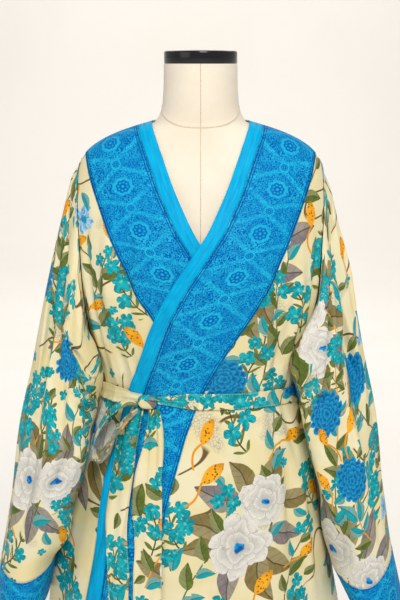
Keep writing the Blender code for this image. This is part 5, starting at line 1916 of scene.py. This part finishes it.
def design(seed, area, bouquets):
    """Where every motif of a length of cloth lies: place, turn, size and seed, by layer."""
    random = np.random.default_rng(seed)
    layers = {name: [] for name in LAYERS}
    taken = [(u, v, BOUQUET_REACH) for u, v in bouquets]

    def put(layer, place, turn, size, tones=ALL_TONES):
        layers[layer].append((*place, turn, size, random.uniform(*tones)))

    def any_turn():
        return random.uniform(0, 6)

    def sized(kind):
        return random.uniform(*MOTIF_SIZES[kind])

    def spread(kind, kept_clear):
        return scattered(random, kept_clear, area, *SCATTER[kind])

    for u, v in list(bouquets) + spread("bouquet", taken):
        turn = random.uniform(0, 2 * math.pi)
        for far, size in BOUQUET_PEONIES:
            put("peony", away(u, v, turn, far), any_turn(), size)
        for k in range(BOUQUET_LEAVES):
            way = turn + 2 * math.pi * (k + random.uniform(-0.25, 0.25)) / BOUQUET_LEAVES
            far = LEAF_OUT + LEAF_OUT_MORE * abs(math.cos(way - turn)) + random.uniform(-0.004, 0.010)
            put(LEAF_LAYERS[k % 2], away(u, v, way, far), way + random.uniform(-0.4, 0.4),
                sized("bouquet_leaf"), EARTHY_TONES)
    for u, v in spread("vine", []):
        heading = math.pi / 2 + random.uniform(-0.7, 0.7)
        bend = random.uniform(-0.24, 0.24)
        kind = random.uniform()
        for k in range(random.integers(*VINE_LENGTHS)):
            put("stem", away(u, v, heading, STEM_HALF), heading, STEM_HALF, (kind, kind))
            side = 1 if k % 2 else -1
            way = heading + side * random.uniform(0.5, 1.0)
            size = sized("vine_leaf")
            put("leaf_vine", away(u, v, way, size), way, size, VINE_TONES)
            u, v = away(u, v, heading, 2 * STEM_HALF)
            heading += bend + random.uniform(-0.16, 0.16)
            bend = -bend if k % 4 == 3 else bend
        for k in range(3):
            put(BLOSSOM_LAYERS[k % 2], away(u, v, heading + 2.0 * (k - 1), VINE_BLOSSOM_OUT), any_turn(),
                sized("vine_blossom"))
    for u, v in spread("pompom", taken):
        put("pompom", (u, v), any_turn(), sized("pompom"))
        for layer in LEAF_LAYERS:
            way = random.uniform(0, 2 * math.pi)
            put(layer, away(u, v, way, POMPOM_LEAF_OUT), way, sized("pompom_leaf"), GREEN_TONES)
        if len(layers["pompom"]) > len(layers["peony"]) * POMPOM_SHARE:
            break
    for u, v in spread("cluster", taken):
        put("sprig", (u, v - 0.012), math.pi / 2 + random.uniform(-0.6, 0.6), sized("cluster_sprig"))
        count = random.integers(3, 6)
        for k in range(count):
            way = 2 * math.pi * (k + random.uniform(-0.2, 0.2)) / count
            place = away(u, v, way, random.uniform(0.015, 0.023))
            put(BLOSSOM_LAYERS[k % 2], place, any_turn(), sized("cluster_blossom"))
        if len(layers["sprig"]) > CLUSTERS_PER_AREA * (area[1] - area[0]) * (area[3] - area[2]):
            break
    for u, v in spread("single", taken):
        kind = random.uniform()
        if kind < BUD_SHARE:
            put("bud", (u, v), random.uniform(0.2, 2.9), sized("bud"))
        elif kind < BLOOM_SHARE:
            put("bloom", (u, v), any_turn(), sized("bloom"))
        elif kind < SPRIG_SHARE:
            put("sprig", (u, v), math.pi / 2 + random.uniform(-0.9, 0.9), sized("sprig"))
        else:
            put("leaf_near", (u, v), any_turn(), sized("leaf"))
    for u, v in spread("small", taken):
        if random.uniform() < SMALL_LEAF_SHARE:
            put("leaf_far", (u, v), any_turn(), sized("small_leaf"), COOL_TONES)
        else:
            put("blossom_near", (u, v), any_turn(), sized("small_blossom"))
    return layers


def lay_print(thing, layers):
    """Keep each corner's place in the nearest motif of every layer."""
    mesh = thing.data
    flat = np.zeros(len(mesh.loops) * 3, np.float32)
    mesh.attributes["flat"].data.foreach_get("vector", flat)
    sizes = np.array([polygon.loop_total for polygon in mesh.polygons])
    first = np.concatenate([[0], np.cumsum(sizes)[:-1]])
    corners = flat.reshape(-1, 3)[:, :2].astype(float)
    middles = np.add.reduceat(corners, first, axis=0) / sizes[:, None]
    face_of = np.repeat(np.arange(len(sizes)), sizes)
    for name, rows in layers.items():
        motifs = np.array(rows if rows else [(-9.0, -9.0, 0.0, 0.01, 0.5)])
        slim = LAYERS[name]
        best = np.full(len(sizes), np.inf)
        chosen = np.zeros(len(sizes), int)
        for index, (u, v, turn, size, _) in enumerate(motifs):
            du = middles[:, 0] - u
            dv = middles[:, 1] - v
            near = np.flatnonzero(np.maximum(np.abs(du), np.abs(dv)) < 3 * size)
            x = (du[near] * math.cos(turn) + dv[near] * math.sin(turn)) / size
            y = (dv[near] * math.cos(turn) - du[near] * math.sin(turn)) / size
            far = x * x + (y / slim) ** 2
            closer = far < best[near]
            best[near[closer]] = far[closer]
            chosen[near[closer]] = index
        mine = motifs[chosen[face_of]]
        shift = corners - mine[:, :2]
        cosine = np.cos(mine[:, 2])
        sine = np.sin(mine[:, 2])
        x = (shift[:, 0] * cosine + shift[:, 1] * sine) / mine[:, 3]
        y = (shift[:, 1] * cosine - shift[:, 0] * sine) / mine[:, 3]
        store(mesh, name, np.stack([np.clip(x, -9, 9), np.clip(y, -9, 9), mine[:, 4]], -1))


def add_camera():
    """The photograph's view."""
    data = bpy.data.cameras.new("camera")
    data.sensor_fit = "VERTICAL"
    data.sensor_height = SENSOR
    data.lens = SENSOR * PHOTO_FOCAL / PHOTO_HEIGHT
    camera = linked("camera", data)
    camera.location = CAMERA_PLACE
    camera.rotation_euler = (math.radians(90 - CAMERA_TILT), 0.0, 0.0)
    bpy.context.scene.camera = camera


def add_area(name, place, size, power, colour, aim):
    """A soft lamp that points at a place."""
    light = bpy.data.lights.new(name, "AREA")
    light.shape = "RECTANGLE"
    light.size, light.size_y = size
    light.energy = power
    light.color = colour
    lamp = linked(name, light)
    lamp.location = place
    way = [b - a for a, b in zip(place, aim)]
    flat = math.hypot(way[0], way[1])
    lamp.rotation_euler = (math.pi / 2 + math.atan2(way[2], flat), 0.0, math.atan2(-way[0], way[1]))


def add_studio(looks):
    """A pale floor that curves up behind the robe, and soft light."""
    outline = [(FLOOR_FRONT, 0.0), (FLOOR_BACK, 0.0)]
    for turn in np.linspace(0, math.pi / 2, WALL_STEPS)[1:]:
        outline.append((FLOOR_BACK + WALL_ROUNDING * math.sin(turn), WALL_ROUNDING * (1 - math.cos(turn))))
    outline.append((FLOOR_BACK + WALL_ROUNDING, WALL_HEIGHT))
    points = [(x, y, z) for y, z in outline for x in (-WALL_HALF_WIDTH, WALL_HALF_WIDTH)]
    faces = [(2 * i, 2 * i + 1, 2 * i + 3, 2 * i + 2) for i in range(len(outline) - 1)]
    add_mesh("backdrop", points, [], faces, looks["wall"])
    world = bpy.data.worlds.new("studio")
    world.use_nodes = True
    background = world.node_tree.nodes["Background"]
    background.inputs["Color"].default_value = (*DAYLIGHT, 1.0)
    background.inputs["Strength"].default_value = WORLD_STRENGTH
    bpy.context.scene.world = world
    for name, row in LAMPS.items():
        add_area(name, *row)
    bpy.context.scene.view_settings.view_transform = "Standard"


def main():
    """Build the scene: the robe, the sash, the form, their print and the studio."""
    add_camera()
    looks = make_looks()
    cloths, rows = add_robe(looks)
    sash, sash_rows = add_sash(looks)
    cloths.update(sash)
    rows["cream"] += sash_rows
    for node, thing in cloths.items():
        declare(thing, node)
    for name, slot in (("tan", "band"), ("blue", "border"), ("cream", "print")):
        declare(add_stitches(name + "_stitches", rows[name], looks[name + "_thread"]), None)
    torso, cap = add_form(looks)
    declare(torso, "form_torso")
    for seam in add_form_seams(looks):
        declare(seam, None)
    declare(cap, "neck_cap")
    for node in ("stand_base", "stand_pole"):
        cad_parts[node].data.materials.clear()
        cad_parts[node].data.materials.append(looks["metal"])
    body_print = design(BODY_SEED, BODY_AREA, BODY_BOUQUETS)
    for node, thing in cloths.items():
        kind, side = node.split("_")[0], node.split("_")[-1]
        if SLOTS[kind] == "print":
            whole = body_print
            if kind == "sleeve":
                whole = design(SLEEVE_SEEDS[side], SLEEVE_AREA, SLEEVE_BOUQUETS[side])
            lay_print(thing, whole)
    for node, (width, length, area, *under) in SHEETS.items():
        more = {"area": area} if area else {}
        if node == "sash_waist":
            more["with_pieces"] = [cloths["sash_knot"]]
    add_studio(looks)


main()
